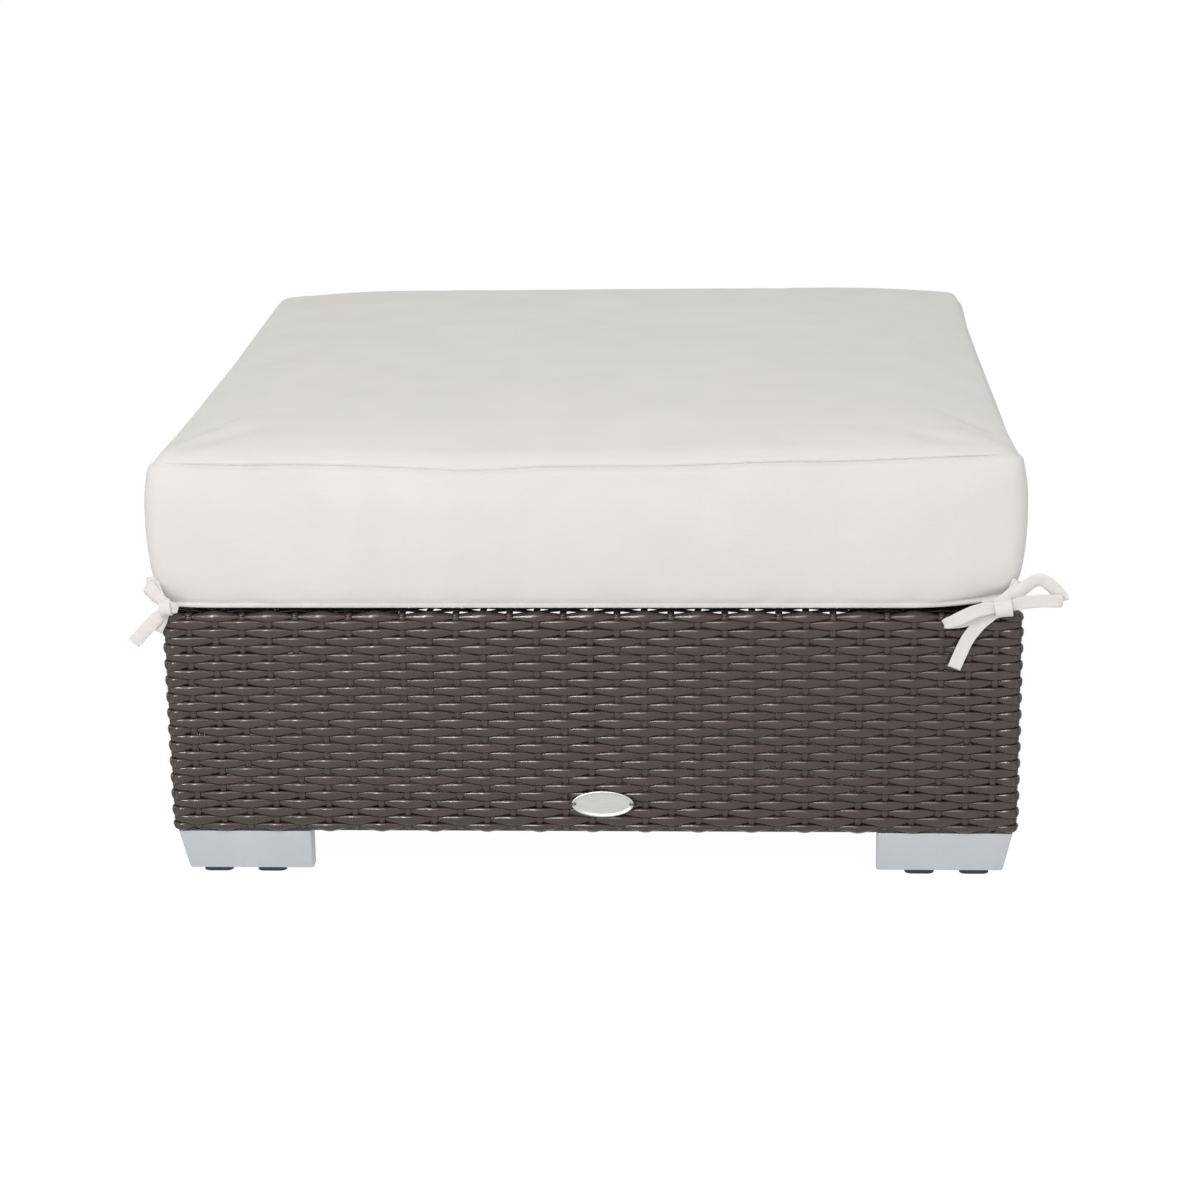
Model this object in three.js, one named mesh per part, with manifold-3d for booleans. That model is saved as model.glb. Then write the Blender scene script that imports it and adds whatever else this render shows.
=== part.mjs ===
// Outdoor ottoman footstool: a woven base on four tapered corner feet, with a tied-on box cushion.
// Millimetres, +Z up. The origin is on the ground at the middle of the footprint, and the front faces -Y.
import * as THREE from 'three';
import { mergeVertices } from 'three/addons/utils/BufferGeometryUtils.js';
import Module from 'manifold-3d';

const wasm = await Module();
wasm.setup();

// Overall base, measured over the weave
const base_width = 806;
const base_depth = 806;
const skirt_and_deck_height = 215;
const weave_thickness = 5.5;
const weave_relief = 2.2;
const weave_rows = 27;
const stake_pitch = 25.16;
const deck_thickness = 5;
const deck_edge_round = 2.5;

// Gaps and overruns
const seat_gap = 0.3;
const cut_overrun = 2;

// Feet, glides and foot bolts
const foot_width = 128;
const foot_height = 40;
const foot_inset = 5;
const foot_taper = 8;
const foot_leg_depth = 24;
const foot_flange = 4;
const foot_corner_radius = 3;
const recess_height = 3;
const glide_length = 28;
const glide_height = 4;
const glide_edge_inset = 1.5;
const glide_stem_diameter = 6;
const glide_stem_length = 6;
const glide_first_offset = 41;
const glide_second_offset = 93;
const bolt_diameter = 8;
const bolt_length = 20;
const bolt_head_width = 14;
const bolt_head_height = 5.3;

// Aluminium frame
const tube_size = 20;
const tube_wall = 1.5;
const tube_corner_radius = 2;
const post_diameter = 20;
const rim_bar_diameter = 8;
const deck_rail_count = 3;
const deck_rail_pitch = 200;
const plate_width = 90;
const plate_thickness = 5;

// Bare oval badge and the two wire staples that hold it
const badge_width = 59;
const badge_height = 26;
const badge_thickness = 1.6;
const badge_rim_width = 2.2;
const badge_dish_depth = 0.5;
const badge_centre_x = 10;
const badge_centre_z = 75;
const badge_sides = 36;
const staple_wire_diameter = 1.2;
const staple_hole_inset = 4;
const staple_overhang = 1.6;
const staple_tail = 3;
const staple_rise = 1.8;
const wire_clearance = 0.4;

// Cushion
const cushion_overhang = 5;
const cushion_width = base_width + 2 * cushion_overhang;
const cushion_depth = base_depth + 2 * cushion_overhang;
const cushion_shift_x = -4;
const band_height = 147.4;
const band_foot_draw_in = 21;
const band_seam_draw_in = 5;
const cushion_corner_radius = 24;
const seam_sag = 4;
const seam_swell_width = 3;
const seam_groove = 1;
const top_roll_height = 12;
const top_roll_width = 22;
const crown_height = 8;
const foam_margin = 15;
const foam_height = 134;
const foam_corner_radius = 22;
const foam_edge_round = 12;
const foam_lift = 5;
const foam_gap = 0.4;

// Zip on the back band
const zip_length = 520;
const zip_height_share = 0.51;
const zip_facet_height = 25;
const zip_tape_width = 22;
const zip_tape_thickness = 1.2;
const zip_chain_width = 5;
const zip_chain_thickness = 1.5;
const zip_slot_length = 480;
const zip_slot_width = 6;
const slider_end_margin = 25;
const slider_length = 14;
const slider_width = 10;
const slider_thickness = 3.8;
const bridge_length = 8.4;
const bridge_width = 2.6;
const bridge_thickness = 1.2;
const bridge_opening = 2.4;
const pull_length = 26;
const pull_width = 6.8;
const pull_thickness = 1.4;
const pull_bar = 1.6;
const pull_clearance = 0.4;
const pull_window_margin = 1.4;

// Fabric ties at the four lower corners of the cushion
const tie_width = 12.5;
const tie_fold_thickness = 3;
const tie_stand_off = 1;
const knot_width = 15;
const knot_depth = 11;
const knot_height = 14;
const right_knot_inset = 24;
const left_knot_inset = 1.5;
const knot_rise = 10;
const tie_tab_thickness = 1.5;

// Levels, from the ground up
const foot_bottom = glide_height + seat_gap;
const foot_top = foot_bottom + foot_height;
const frame_bottom = foot_top + seat_gap;
const skirt_bottom = foot_top + recess_height;
const deck_top = skirt_bottom + skirt_and_deck_height;
const deck_bottom = deck_top - deck_thickness;
const frame_top = deck_bottom - seat_gap;
const skirt_top = deck_bottom - seat_gap;
const top_rail_top = frame_top - rim_bar_diameter - seat_gap;
const cushion_bottom = deck_top + seat_gap;

// Half sizes to the frame's outer faces, and the corner radius that goes round a post
const frame_half_x = base_width / 2 - weave_thickness - seat_gap;
const frame_half_y = base_depth / 2 - weave_thickness - seat_gap;
const weave_corner_radius = post_diameter / 2 + seat_gap + weave_thickness;

const weave_colour = 0x544d4a;
const frame_colour = 0x3a3532;
const fabric_colour = 0xe6e4e0;
const corners = [
  { name: 'front_left', x: -1, y: -1 },
  { name: 'front_right', x: 1, y: -1 },
  { name: 'back_left', x: -1, y: 1 },
  { name: 'back_right', x: 1, y: 1 },
];

const object = new THREE.Group();

function material(color, roughness, metalness) {
  return new THREE.MeshStandardMaterial({ color, roughness, metalness });
}

function addMesh(parent, name, geometry, look) {
  const mesh = new THREE.Mesh(geometry, look);
  mesh.name = name;
  parent.add(mesh);
  return mesh;
}

// Solid of a closed geometry, for joining and cutting
function solid(geometry) {
  const bare = geometry.index ? geometry.clone() : geometry;
  bare.deleteAttribute('normal');
  bare.deleteAttribute('uv');
  const merged = mergeVertices(bare);
  const vertProperties = new Float32Array(merged.attributes.position.array);
  const triVerts = new Uint32Array(merged.index.array);
  return new wasm.Manifold(new wasm.Mesh({ numProp: 3, vertProperties, triVerts }));
}

function geometryOf(body) {
  const mesh = body.getMesh();
  const geometry = new THREE.BufferGeometry();
  geometry.setAttribute('position', new THREE.BufferAttribute(mesh.vertProperties, 3));
  geometry.setIndex(new THREE.BufferAttribute(mesh.triVerts, 1));
  geometry.computeVertexNormals();
  return geometry;
}

// Points round a rectangle with round corners, counterclockwise seen from +Z
function roundedOutline(half_x, half_y, radius, side_steps, corner_steps) {
  const points = [];
  const starts = [[1, -1], [1, 1], [-1, 1], [-1, -1]];
  starts.forEach(([sign_x, sign_y], corner) => {
    const centre_x = sign_x * (half_x - radius);
    const centre_y = sign_y * (half_y - radius);
    for (let step = 0; step <= corner_steps; step += 1) {
      const angle = (corner - 1 + step / corner_steps) * Math.PI / 2;
      points.push([centre_x + radius * Math.cos(angle), centre_y + radius * Math.sin(angle)]);
    }
    const [next_x, next_y] = starts[(corner + 1) % 4];
    const from = points[points.length - 1];
    const angle = corner * Math.PI / 2;
    const to = [
      next_x * (half_x - radius) + radius * Math.cos(angle),
      next_y * (half_y - radius) + radius * Math.sin(angle),
    ];
    for (let step = 1; step < side_steps; step += 1) {
      const share = step / side_steps;
      points.push([from[0] + (to[0] - from[0]) * share, from[1] + (to[1] - from[1]) * share]);
    }
  });
  return points;
}

// Closed skin through rings of equal point counts, capped by a fan at each end
function loft(rings) {
  const count = rings[0].length;
  const positions = [];
  const index = [];
  rings.forEach((ring) => ring.forEach((point) => positions.push(...point)));
  for (let ring = 0; ring < rings.length - 1; ring += 1) {
    for (let i = 0; i < count; i += 1) {
      const a = ring * count + i;
      const b = ring * count + (i + 1) % count;
      index.push(a, b, b + count, a, b + count, a + count);
    }
  }
  [rings[0], rings[rings.length - 1]].forEach((ring, end) => {
    const centre = positions.length / 3;
    const sum = ring.reduce((total, point) => total.map((value, k) => value + point[k]), [0, 0, 0]);
    positions.push(...sum.map((value) => value / count));
    const start = end * (rings.length - 1) * count;
    for (let i = 0; i < count; i += 1) {
      const a = start + i;
      const b = start + (i + 1) % count;
      index.push(...(end ? [a, b, centre] : [b, a, centre]));
    }
  });
  const geometry = new THREE.BufferGeometry();
  geometry.setAttribute('position', new THREE.Float32BufferAttribute(positions, 3));
  geometry.setIndex(index);
  geometry.computeVertexNormals();
  return geometry;
}

function ringAt(outline, z) {
  return outline.map(([x, y]) => [x, y, z]);
}

function cylinderAlongZ(radius, low, high, sides) {
  const geometry = new THREE.CylinderGeometry(radius, radius, high - low, sides);
  geometry.rotateX(Math.PI / 2);
  geometry.translate(0, 0, (low + high) / 2);
  return geometry;
}

function block(size_x, size_y, size_z, x, y, z) {
  const geometry = new THREE.BoxGeometry(size_x, size_y, size_z);
  geometry.translate(x, y, z);
  return geometry;
}

// Square tube along Z with open ends, its middle at the origin
function squareTube(length) {
  const section = (size, radius) => {
    const half = size / 2;
    const path = new THREE.Path();
    path.moveTo(half - radius, -half);
    path.absarc(half - radius, -half + radius, radius, -Math.PI / 2, 0);
    path.absarc(half - radius, half - radius, radius, 0, Math.PI / 2);
    path.absarc(-half + radius, half - radius, radius, Math.PI / 2, Math.PI);
    path.absarc(-half + radius, -half + radius, radius, Math.PI, Math.PI * 1.5);
    return path;
  };
  const shape = new THREE.Shape(section(tube_size, tube_corner_radius).getPoints(2));
  const bore = section(tube_size - 2 * tube_wall, tube_corner_radius - tube_wall);
  shape.holes.push(new THREE.Path(bore.getPoints(1)));
  const geometry = new THREE.ExtrudeGeometry(shape, { depth: length, bevelEnabled: false });
  geometry.translate(0, 0, -length / 2);
  return geometry;
}

// Aluminium frame: bottom and top rails, posts, uprights, deck rails, rim bars and corner plates
function addFrame() {
  const look = material(frame_colour, 0.55, 0.6);
  const rail_half_x = frame_half_x - post_diameter - seat_gap;
  const rail_half_y = frame_half_y - post_diameter - seat_gap;
  const bottom_rail_z = frame_bottom + tube_size / 2;
  const top_rail_z = top_rail_top - tube_size / 2;
  const sides = [
    { name: 'front', sign: -1, alongX: true },
    { name: 'back', sign: 1, alongX: true },
    { name: 'left', sign: -1, alongX: false },
    { name: 'right', sign: 1, alongX: false },
  ];

  sides.forEach(({ name, sign, alongX }) => {
    const length = 2 * (alongX ? rail_half_x : rail_half_y);
    const out = (alongX ? frame_half_y : frame_half_x) - tube_size / 2;
    const rails = [['bottom_rail', bottom_rail_z], ['top_rail', top_rail_z]];
    rails.forEach(([kind, z]) => {
      const rail = addMesh(object, `${kind}_${name}`, squareTube(length), look);
      rail.rotation.set(alongX ? 0 : Math.PI / 2, alongX ? Math.PI / 2 : 0, 0);
      rail.position.set(alongX ? 0 : sign * out, alongX ? sign * out : 0, z);
    });

    const low = bottom_rail_z + tube_size / 2 + seat_gap;
    const high = top_rail_z - tube_size / 2 - seat_gap;
    const upright = addMesh(object, `upright_${name}`, squareTube(high - low), look);
    upright.position.set(alongX ? 0 : sign * out, alongX ? sign * out : 0, (low + high) / 2);

    const bar_geometry = cylinderAlongZ(rim_bar_diameter / 2, -length / 2, length / 2, 12);
    const bar = addMesh(object, `rim_bar_${name}`, bar_geometry, look);
    const bar_out = (alongX ? frame_half_y : frame_half_x) - rim_bar_diameter / 2;
    const bar_z = frame_top - rim_bar_diameter / 2;
    bar.rotation.set(alongX ? 0 : Math.PI / 2, alongX ? Math.PI / 2 : 0, 0);
    bar.position.set(alongX ? 0 : sign * bar_out, alongX ? sign * bar_out : 0, bar_z);
  });

  const deck_rail_length = 2 * (frame_half_x - tube_size - seat_gap);
  for (let i = 0; i < deck_rail_count; i += 1) {
    const rail = addMesh(object, `deck_rail_${i + 1}`, squareTube(deck_rail_length), look);
    rail.rotation.y = Math.PI / 2;
    const y = (i - (deck_rail_count - 1) / 2) * deck_rail_pitch;
    rail.position.set(0, y, frame_top - tube_size / 2);
  }

  corners.forEach(({ name, x, y }) => {
    const post = addMesh(object, `corner_post_${name}`, postGeometry(), look);
    post.position.set(x * (frame_half_x - post_diameter / 2), y * (frame_half_y - post_diameter / 2), 0);
    const plate = addMesh(object, `corner_plate_${name}`, plateGeometry(), look);
    plate.position.set(x * bolt_x, y * bolt_y, frame_bottom);
  });
}

// Round tube with open ends, turned about its axis
function postGeometry() {
  const outer = post_diameter / 2;
  const inner = outer - tube_wall;
  const profile = [
    new THREE.Vector2(inner, frame_bottom),
    new THREE.Vector2(outer, frame_bottom),
    new THREE.Vector2(outer, frame_top),
    new THREE.Vector2(inner, frame_top),
    new THREE.Vector2(inner, frame_bottom),
  ];
  const geometry = new THREE.LatheGeometry(profile, 20);
  geometry.rotateX(Math.PI / 2);
  return geometry;
}

// Where a foot's bolt stands: the middle of the corner plate, which fills the frame's inside corner
const bolt_x = frame_half_x - tube_size - seat_gap - plate_width / 2;
const bolt_y = frame_half_y - tube_size - seat_gap - plate_width / 2;
const bolt_hole_radius = bolt_diameter / 2 + seat_gap;

function plateGeometry() {
  const plate = solid(block(plate_width, plate_width, plate_thickness, 0, 0, plate_thickness / 2));
  const hole = cylinderAlongZ(bolt_hole_radius, -cut_overrun, plate_thickness + cut_overrun, 16);
  return geometryOf(plate.subtract(solid(hole)));
}

// L-shaped foot at one corner, with a flange over its inside corner for the bolt. Its two outer faces lean in
// towards the ground, and its inner faces stand upright.
function footGeometry(sign_x, sign_y) {
  const edge_x = base_width / 2 - foot_inset;
  const edge_y = base_depth / 2 - foot_inset;
  const ring = (z) => {
    const lean = foot_taper * (foot_top - z) / foot_height;
    const width = foot_width - lean;
    const outline = roundedOutline(width / 2, width / 2, foot_corner_radius, 1, 3);
    const centre_x = sign_x * (edge_x - (foot_width + lean) / 2);
    const centre_y = sign_y * (edge_y - (foot_width + lean) / 2);
    return outline.map(([x, y]) => [x + centre_x, y + centre_y, z]);
  };
  const outside = solid(loft([ring(foot_bottom), ring(foot_top)]));
  const open_width = foot_width - foot_leg_depth + cut_overrun;
  const open_height = foot_height - foot_flange + cut_overrun;
  const from_edge = foot_leg_depth + open_width / 2;
  const open_x = sign_x * (edge_x - from_edge);
  const open_y = sign_y * (edge_y - from_edge);
  const open_z = foot_top - foot_flange - open_height / 2;
  const inside = solid(block(open_width, open_width, open_height, open_x, open_y, open_z));
  const bore = cylinderAlongZ(bolt_hole_radius, foot_top - foot_flange - cut_overrun, foot_top + cut_overrun, 16);
  bore.translate(sign_x * bolt_x, sign_y * bolt_y, 0);
  let foot = outside.subtract(inside).subtract(solid(bore));
  glidePlaces(sign_x, sign_y).forEach(([x, y]) => {
    const radius = glide_stem_diameter / 2 + seat_gap;
    const hole_top = foot_bottom + glide_stem_length + seat_gap;
    const hole = cylinderAlongZ(radius, foot_bottom - cut_overrun, hole_top, 16);
    foot = foot.subtract(solid(hole.translate(x, y, 0)));
  });
  return geometryOf(foot);
}

// Two glides stand along each foot's front or back leg, in the middle of its underside
function glidePlaces(sign_x, sign_y) {
  const inner_side = base_width / 2 - foot_inset - foot_width;
  const y = sign_y * (base_depth / 2 - foot_inset - (foot_taper + foot_leg_depth) / 2);
  return [glide_first_offset, glide_second_offset].map((offset) => [sign_x * (inner_side + offset), y]);
}

// Long pad with round ends and a stem that goes up into the foot
function glideGeometry() {
  const width = foot_leg_depth - foot_taper - 2 * glide_edge_inset;
  const outline = roundedOutline(glide_length / 2, width / 2, width / 2, 1, 6);
  const pad = solid(loft([ringAt(outline, 0), ringAt(outline, glide_height)]));
  const stem_top = foot_bottom + glide_stem_length;
  const stem = cylinderAlongZ(glide_stem_diameter / 2, glide_height / 2, stem_top, 16);
  return geometryOf(pad.add(solid(stem)));
}

function boltGeometry() {
  const head_top = foot_top - foot_flange - seat_gap;
  const head = cylinderAlongZ(bolt_head_width / 2, head_top - bolt_head_height, head_top, 6);
  const shank_low = head_top - bolt_head_height / 2;
  const shank = cylinderAlongZ(bolt_diameter / 2, shank_low, head_top + bolt_length, 16);
  return geometryOf(solid(head).add(solid(shank)));
}

function addFeet() {
  const foot_look = material(0xc2c5c8, 0.4, 0.5);
  const glide_look = material(0x1c1d22, 0.6, 0);
  const bolt_look = material(0xa8a8a8, 0.35, 0.9);
  corners.forEach(({ name, x, y }) => {
    addMesh(object, `foot_${name}`, footGeometry(x, y), foot_look);
    const bolt = addMesh(object, `foot_bolt_${name}`, boltGeometry(), bolt_look);
    bolt.position.set(x * bolt_x, y * bolt_y, 0);
    glidePlaces(x, y).forEach(([glide_x, glide_y], i) => {
      const glide = addMesh(object, `glide_${name}_${i + 1}`, glideGeometry(), glide_look);
      glide.position.set(glide_x, glide_y, 0);
    });
  });
}

// Faces over a flat, closed outline of numbered points, with the outline's own places in its plane
function capFaces(numbers, places) {
  const contour = places.map(([across, up]) => new THREE.Vector2(across, up));
  return THREE.ShapeUtils.triangulateShape(contour, []).flat().map((k) => numbers[k]);
}

// One face of the woven skirt, from corner middle to corner middle, its outside towards -Y. Its outside rises to a
// lozenge wherever a row of strand passes in front of a stake, every second stake in each row.
function skirtGeometry(length, distance) {
  const outer = weave_corner_radius;
  const inner = outer - weave_thickness;
  const bend_start = length / 2 - outer;
  const half_path = bend_start + outer * (Math.PI / 4 - Math.asin(seat_gap / 2 / inner));
  const positions = [];
  const addPoint = (along, radius, z) => {
    const angle = Math.max(Math.abs(along) - bend_start, 0) / outer;
    const flat = Math.min(Math.abs(along), bend_start);
    const x = Math.sign(along) * (flat + radius * Math.sin(angle));
    positions.push(x, -(distance - outer) - radius * Math.cos(angle), z);
    return positions.length / 3 - 1;
  };
  const half_bend = (bend_start + half_path) / 2;
  const half_stakes = Math.floor(bend_start / stake_pitch);
  const columns = [-half_path, -half_bend];
  for (let stake = -half_stakes; stake <= half_stakes; stake += 1) columns.push(stake * stake_pitch);
  columns.push(half_bend, half_path);
  const row_pitch = skirt_and_deck_height / weave_rows;
  const levels = [skirt_bottom];
  for (let z = skirt_bottom + row_pitch / 2; z < skirt_top - row_pitch / 4; z += row_pitch) levels.push(z);
  levels.push(skirt_top);
  const raised = (column, level) => (column + level) % 2 === 0;
  const depthAt = (column, level) => {
    if (level === 0 || level === levels.length - 1) return weave_relief / 2;
    return raised(column, level) ? 0 : weave_relief;
  };
  const grid = levels.map((z, level) => columns.map(
    (along, column) => addPoint(along, outer - depthAt(column, level), z),
  ));
  const inner_alongs = [-half_path, -half_bend, -bend_start, bend_start, half_bend, half_path];
  const [low, high] = [skirt_bottom, skirt_top].map((z) => inner_alongs.map((s) => addPoint(s, inner, z)));

  const index = [];
  const quad = (a, b, c, d) => index.push(a, b, c, a, c, d);
  for (let level = 0; level < levels.length - 1; level += 1) {
    for (let column = 0; column < columns.length - 1; column += 1) {
      const a = grid[level][column];
      const b = grid[level][column + 1];
      const c = grid[level + 1][column + 1];
      const d = grid[level + 1][column];
      // The fold runs between the two low corners, so that each high corner tops a lozenge
      if (raised(column, level)) quad(b, c, d, a);
      else quad(a, b, c, d);
    }
  }
  for (let k = 0; k < inner_alongs.length - 1; k += 1) quad(low[k + 1], low[k], high[k], high[k + 1]);
  const place = (n, axis) => positions[3 * n + axis];
  const flatCap = (numbers) => capFaces(numbers, numbers.map((n) => [place(n, 0), place(n, 1)]));
  const endCap = (numbers) => capFaces(numbers, numbers.map((n) => [place(n, 1), place(n, 2)]));
  const last = columns.length - 1;
  const end = inner_alongs.length - 1;
  index.push(...flatCap([...grid[levels.length - 1], ...high.toReversed()]));
  index.push(...flatCap([...grid[0], ...low.toReversed()]).toReversed());
  const column_down = (column) => grid.map((row) => row[column]).toReversed();
  index.push(...endCap([low[end], high[end], ...column_down(last)]));
  index.push(...endCap([low[0], high[0], ...column_down(0)]).toReversed());
  const geometry = new THREE.BufferGeometry();
  geometry.setAttribute('position', new THREE.Float32BufferAttribute(positions, 3));
  geometry.setIndex(index);
  geometry.computeVertexNormals();
  return geometry;
}

// Four skirt faces and the woven deck that closes the top
function addWeave() {
  const look = material(weave_colour, 0.5, 0);
  let front = solid(skirtGeometry(base_width, base_depth / 2));
  stapleLegs().forEach((x) => {
    const radius = staple_wire_diameter / 2 + wire_clearance;
    const half_run = weave_thickness / 2 + cut_overrun;
    const hole = cylinderAlongZ(radius, -half_run, half_run, 12);
    hole.rotateX(Math.PI / 2);
    hole.translate(x, -(base_depth - weave_thickness) / 2, badge_centre_z);
    front = front.subtract(solid(hole));
  });
  addMesh(object, 'woven_front', geometryOf(front), look);
  const back = addMesh(object, 'woven_back', skirtGeometry(base_width, base_depth / 2), look);
  back.rotation.z = Math.PI;
  const left = addMesh(object, 'woven_left', skirtGeometry(base_depth, base_width / 2), look);
  left.rotation.z = -Math.PI / 2;
  const right = addMesh(object, 'woven_right', skirtGeometry(base_depth, base_width / 2), look);
  right.rotation.z = Math.PI / 2;

  const outline = (inset) => roundedOutline(
    base_width / 2 - inset, base_depth / 2 - inset, weave_corner_radius - inset, 1, 6,
  );
  const deck = loft([
    ringAt(outline(0), deck_bottom),
    ringAt(outline(0), deck_top - deck_edge_round),
    ringAt(outline(deck_edge_round), deck_top),
  ]);
  addMesh(object, 'woven_deck', deck, look);
}

// Middle of each wire leg that goes through the front weave, left staple first
function stapleLegs() {
  const in_badge = badge_width / 2 - staple_hole_inset;
  const past_badge = badge_width / 2 + staple_overhang;
  return [-past_badge, -in_badge, in_badge, past_badge].map((x) => badge_centre_x + x);
}

// Oval plate with a raised rim, lying along Z until it is stood up against the front
function badgeGeometry() {
  const back = base_depth / 2 + seat_gap;
  const ring = (inset, rise) => {
    const points = [];
    for (let i = 0; i < badge_sides; i += 1) {
      const angle = i / badge_sides * Math.PI * 2;
      const x = (badge_width / 2 - inset) * Math.cos(angle);
      const y = (badge_height / 2 - inset) * Math.sin(angle);
      points.push([x, y, back + rise]);
    }
    return points;
  };
  const half_rim = badge_rim_width / 2;
  const plate = loft([
    ring(0, 0),
    ring(0, badge_thickness - half_rim / 2),
    ring(half_rim / 2, badge_thickness),
    ring(half_rim, badge_thickness),
    ring(badge_rim_width, badge_thickness - badge_dish_depth),
  ]);
  plate.rotateX(Math.PI / 2);
  plate.translate(badge_centre_x, 0, badge_centre_z);
  let badge = solid(plate);
  stapleLegs().slice(1, 3).forEach((x) => {
    const radius = staple_wire_diameter / 2 + wire_clearance;
    const hole = cylinderAlongZ(radius, back - cut_overrun, back + badge_thickness + cut_overrun, 12);
    hole.rotateX(Math.PI / 2);
    hole.translate(x, 0, badge_centre_z);
    badge = badge.subtract(solid(hole));
  });
  return geometryOf(badge);
}

// Bent wire: two legs through the weave, joined in front of the badge's end
function stapleGeometry(leg_a, leg_b) {
  const inside = base_depth / 2 - weave_thickness - staple_tail;
  const badge_front = base_depth / 2 + seat_gap + badge_thickness;
  const bend = (leg_b - leg_a) / 2;
  const middle = (leg_a + leg_b) / 2;
  const path = new THREE.CurvePath();
  const at = (x, y) => new THREE.Vector3(x, -y, badge_centre_z);
  const points = [at(leg_a, inside), at(leg_a, badge_front)];
  for (let step = 1; step <= 6; step += 1) {
    const angle = step / 6 * Math.PI;
    points.push(at(middle - bend * Math.cos(angle), badge_front + staple_rise * Math.sin(angle)));
  }
  points.push(at(leg_b, inside));
  for (let i = 0; i < points.length - 1; i += 1) {
    path.add(new THREE.LineCurve3(points[i], points[i + 1]));
  }
  const section = new THREE.Shape();
  section.absarc(0, 0, staple_wire_diameter / 2, 0, Math.PI * 2);
  const settings = { steps: 16, extrudePath: path, curveSegments: 6 };
  return new THREE.ExtrudeGeometry(section, settings);
}

function addBadge() {
  addMesh(object, 'badge', badgeGeometry(), material(0xd9d9d6, 0.35, 0.6));
  const wire_look = material(0x2b2a29, 0.5, 0.6);
  const legs = stapleLegs();
  addMesh(object, 'badge_staple_left', stapleGeometry(legs[0], legs[1]), wire_look);
  addMesh(object, 'badge_staple_right', stapleGeometry(legs[2], legs[3]), wire_look);
}

// The cushion's band from its lower edge to the top seam: shares of its height, and of the draw-in there
const zip_share = zip_facet_height / band_height / 2;
const band_foot_shares = [[0, 1], [0.03, 0.76], [0.1, 0.48], [0.22, 0.2], [zip_height_share - zip_share, 0]];
const band_seam_shares = [[zip_height_share + zip_share, 0], [0.8, 0.2], [0.93, 0.62], [1, 1]];
// The rolled top edge and the crown: shares of the roll, then of the way in to the middle
const roll_shares = [[0.07, 0.4], [0.4, 0.82], [1, 1]];
const crown_shares = [0.12, 0.3, 0.55, 0.8];

// How far a point lies along its side: 1 in the middle of a side, 0 at a corner
function middleShare(x, y, half_x, half_y) {
  const along = Math.min(Math.abs(x) / half_x, Math.abs(y) / half_y);
  return Math.cos(along * Math.PI / 2) ** 2;
}

function cushionRings() {
  const half_x = cushion_width / 2;
  const half_y = cushion_depth / 2;
  const seam_z = cushion_bottom + band_height;
  const rings = [];
  const band = (inset, z) => {
    const outline = roundedOutline(half_x - inset, half_y - inset, cushion_corner_radius, 7, 3);
    return ringAt(outline, z);
  };
  const eased = (inset, rise, share) => {
    const outline = roundedOutline(half_x - inset, half_y - inset, cushion_corner_radius, 7, 3);
    return outline.map(([x, y]) => {
      const middle = share * middleShare(x, y, half_x - inset, half_y - inset);
      const grow = 1 + middle * seam_swell_width / half_x;
      return [x * grow, y * grow, seam_z + rise - middle * seam_sag];
    });
  };
  band_foot_shares.forEach(([height, draw]) => {
    rings.push(band(draw * band_foot_draw_in, cushion_bottom + height * band_height));
  });
  band_seam_shares.slice(0, -1).forEach(([height, draw]) => {
    rings.push(band(draw * band_seam_draw_in, cushion_bottom + height * band_height));
  });
  rings.push(eased(band_seam_draw_in + seam_groove, 0, 1));
  roll_shares.forEach(([across, up]) => {
    const inset = band_seam_draw_in + across * top_roll_width;
    rings.push(eased(inset, up * top_roll_height, 1 - across));
  });
  const last = rings[rings.length - 1];
  crown_shares.forEach((share) => {
    const rise = crown_height * (1 - (1 - share) ** 2);
    const scale = 1 - share;
    rings.push(last.map(([x, y, z]) => [x * scale, y * scale, z + rise]));
  });
  return rings;
}

// Foam block, or the cavity that holds it when grown by a gap
function foamGeometry(grow) {
  const low = cushion_bottom + foam_lift - grow;
  const high = cushion_bottom + foam_lift + foam_height + grow;
  const ring = (inset, z) => {
    const half_x = cushion_width / 2 - foam_margin + grow - inset;
    const half_y = cushion_depth / 2 - foam_margin + grow - inset;
    return ringAt(roundedOutline(half_x, half_y, foam_corner_radius, 7, 3), z);
  };
  const lift = foam_edge_round;
  const inset = foam_edge_round / 2;
  return loft([ring(inset, low), ring(0, low + lift), ring(0, high - lift), ring(inset, high)]);
}

// Zip on the flat stretch in the middle of the back band
const zip_z = cushion_bottom + zip_height_share * band_height;
const tape_back = cushion_depth / 2 + seat_gap;
const tape_front = tape_back + zip_tape_thickness;
const chain_front = tape_front + zip_chain_thickness;
const slider_back = tape_front + seat_gap;
const slider_front = slider_back + slider_thickness;
const pull_axis_y = slider_front + bridge_opening / 2;
const slider_start_x = zip_length / 2 - slider_end_margin;

function zipTapeGeometry() {
  const half_tape = zip_tape_width / 2;
  const half_chain = zip_chain_width / 2;
  const shape = new THREE.Shape([
    [tape_back, -half_tape], [tape_front, -half_tape], [tape_front, -half_chain],
    [chain_front, -half_chain], [chain_front, half_chain], [tape_front, half_chain],
    [tape_front, half_tape], [tape_back, half_tape],
  ].map(([y, z]) => new THREE.Vector2(y, zip_z + z)));
  const geometry = new THREE.ExtrudeGeometry(shape, { depth: zip_length, bevelEnabled: false });
  geometry.rotateX(Math.PI / 2);
  geometry.rotateZ(Math.PI / 2);
  geometry.translate(-zip_length / 2, 0, 0);
  return geometry;
}

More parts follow.
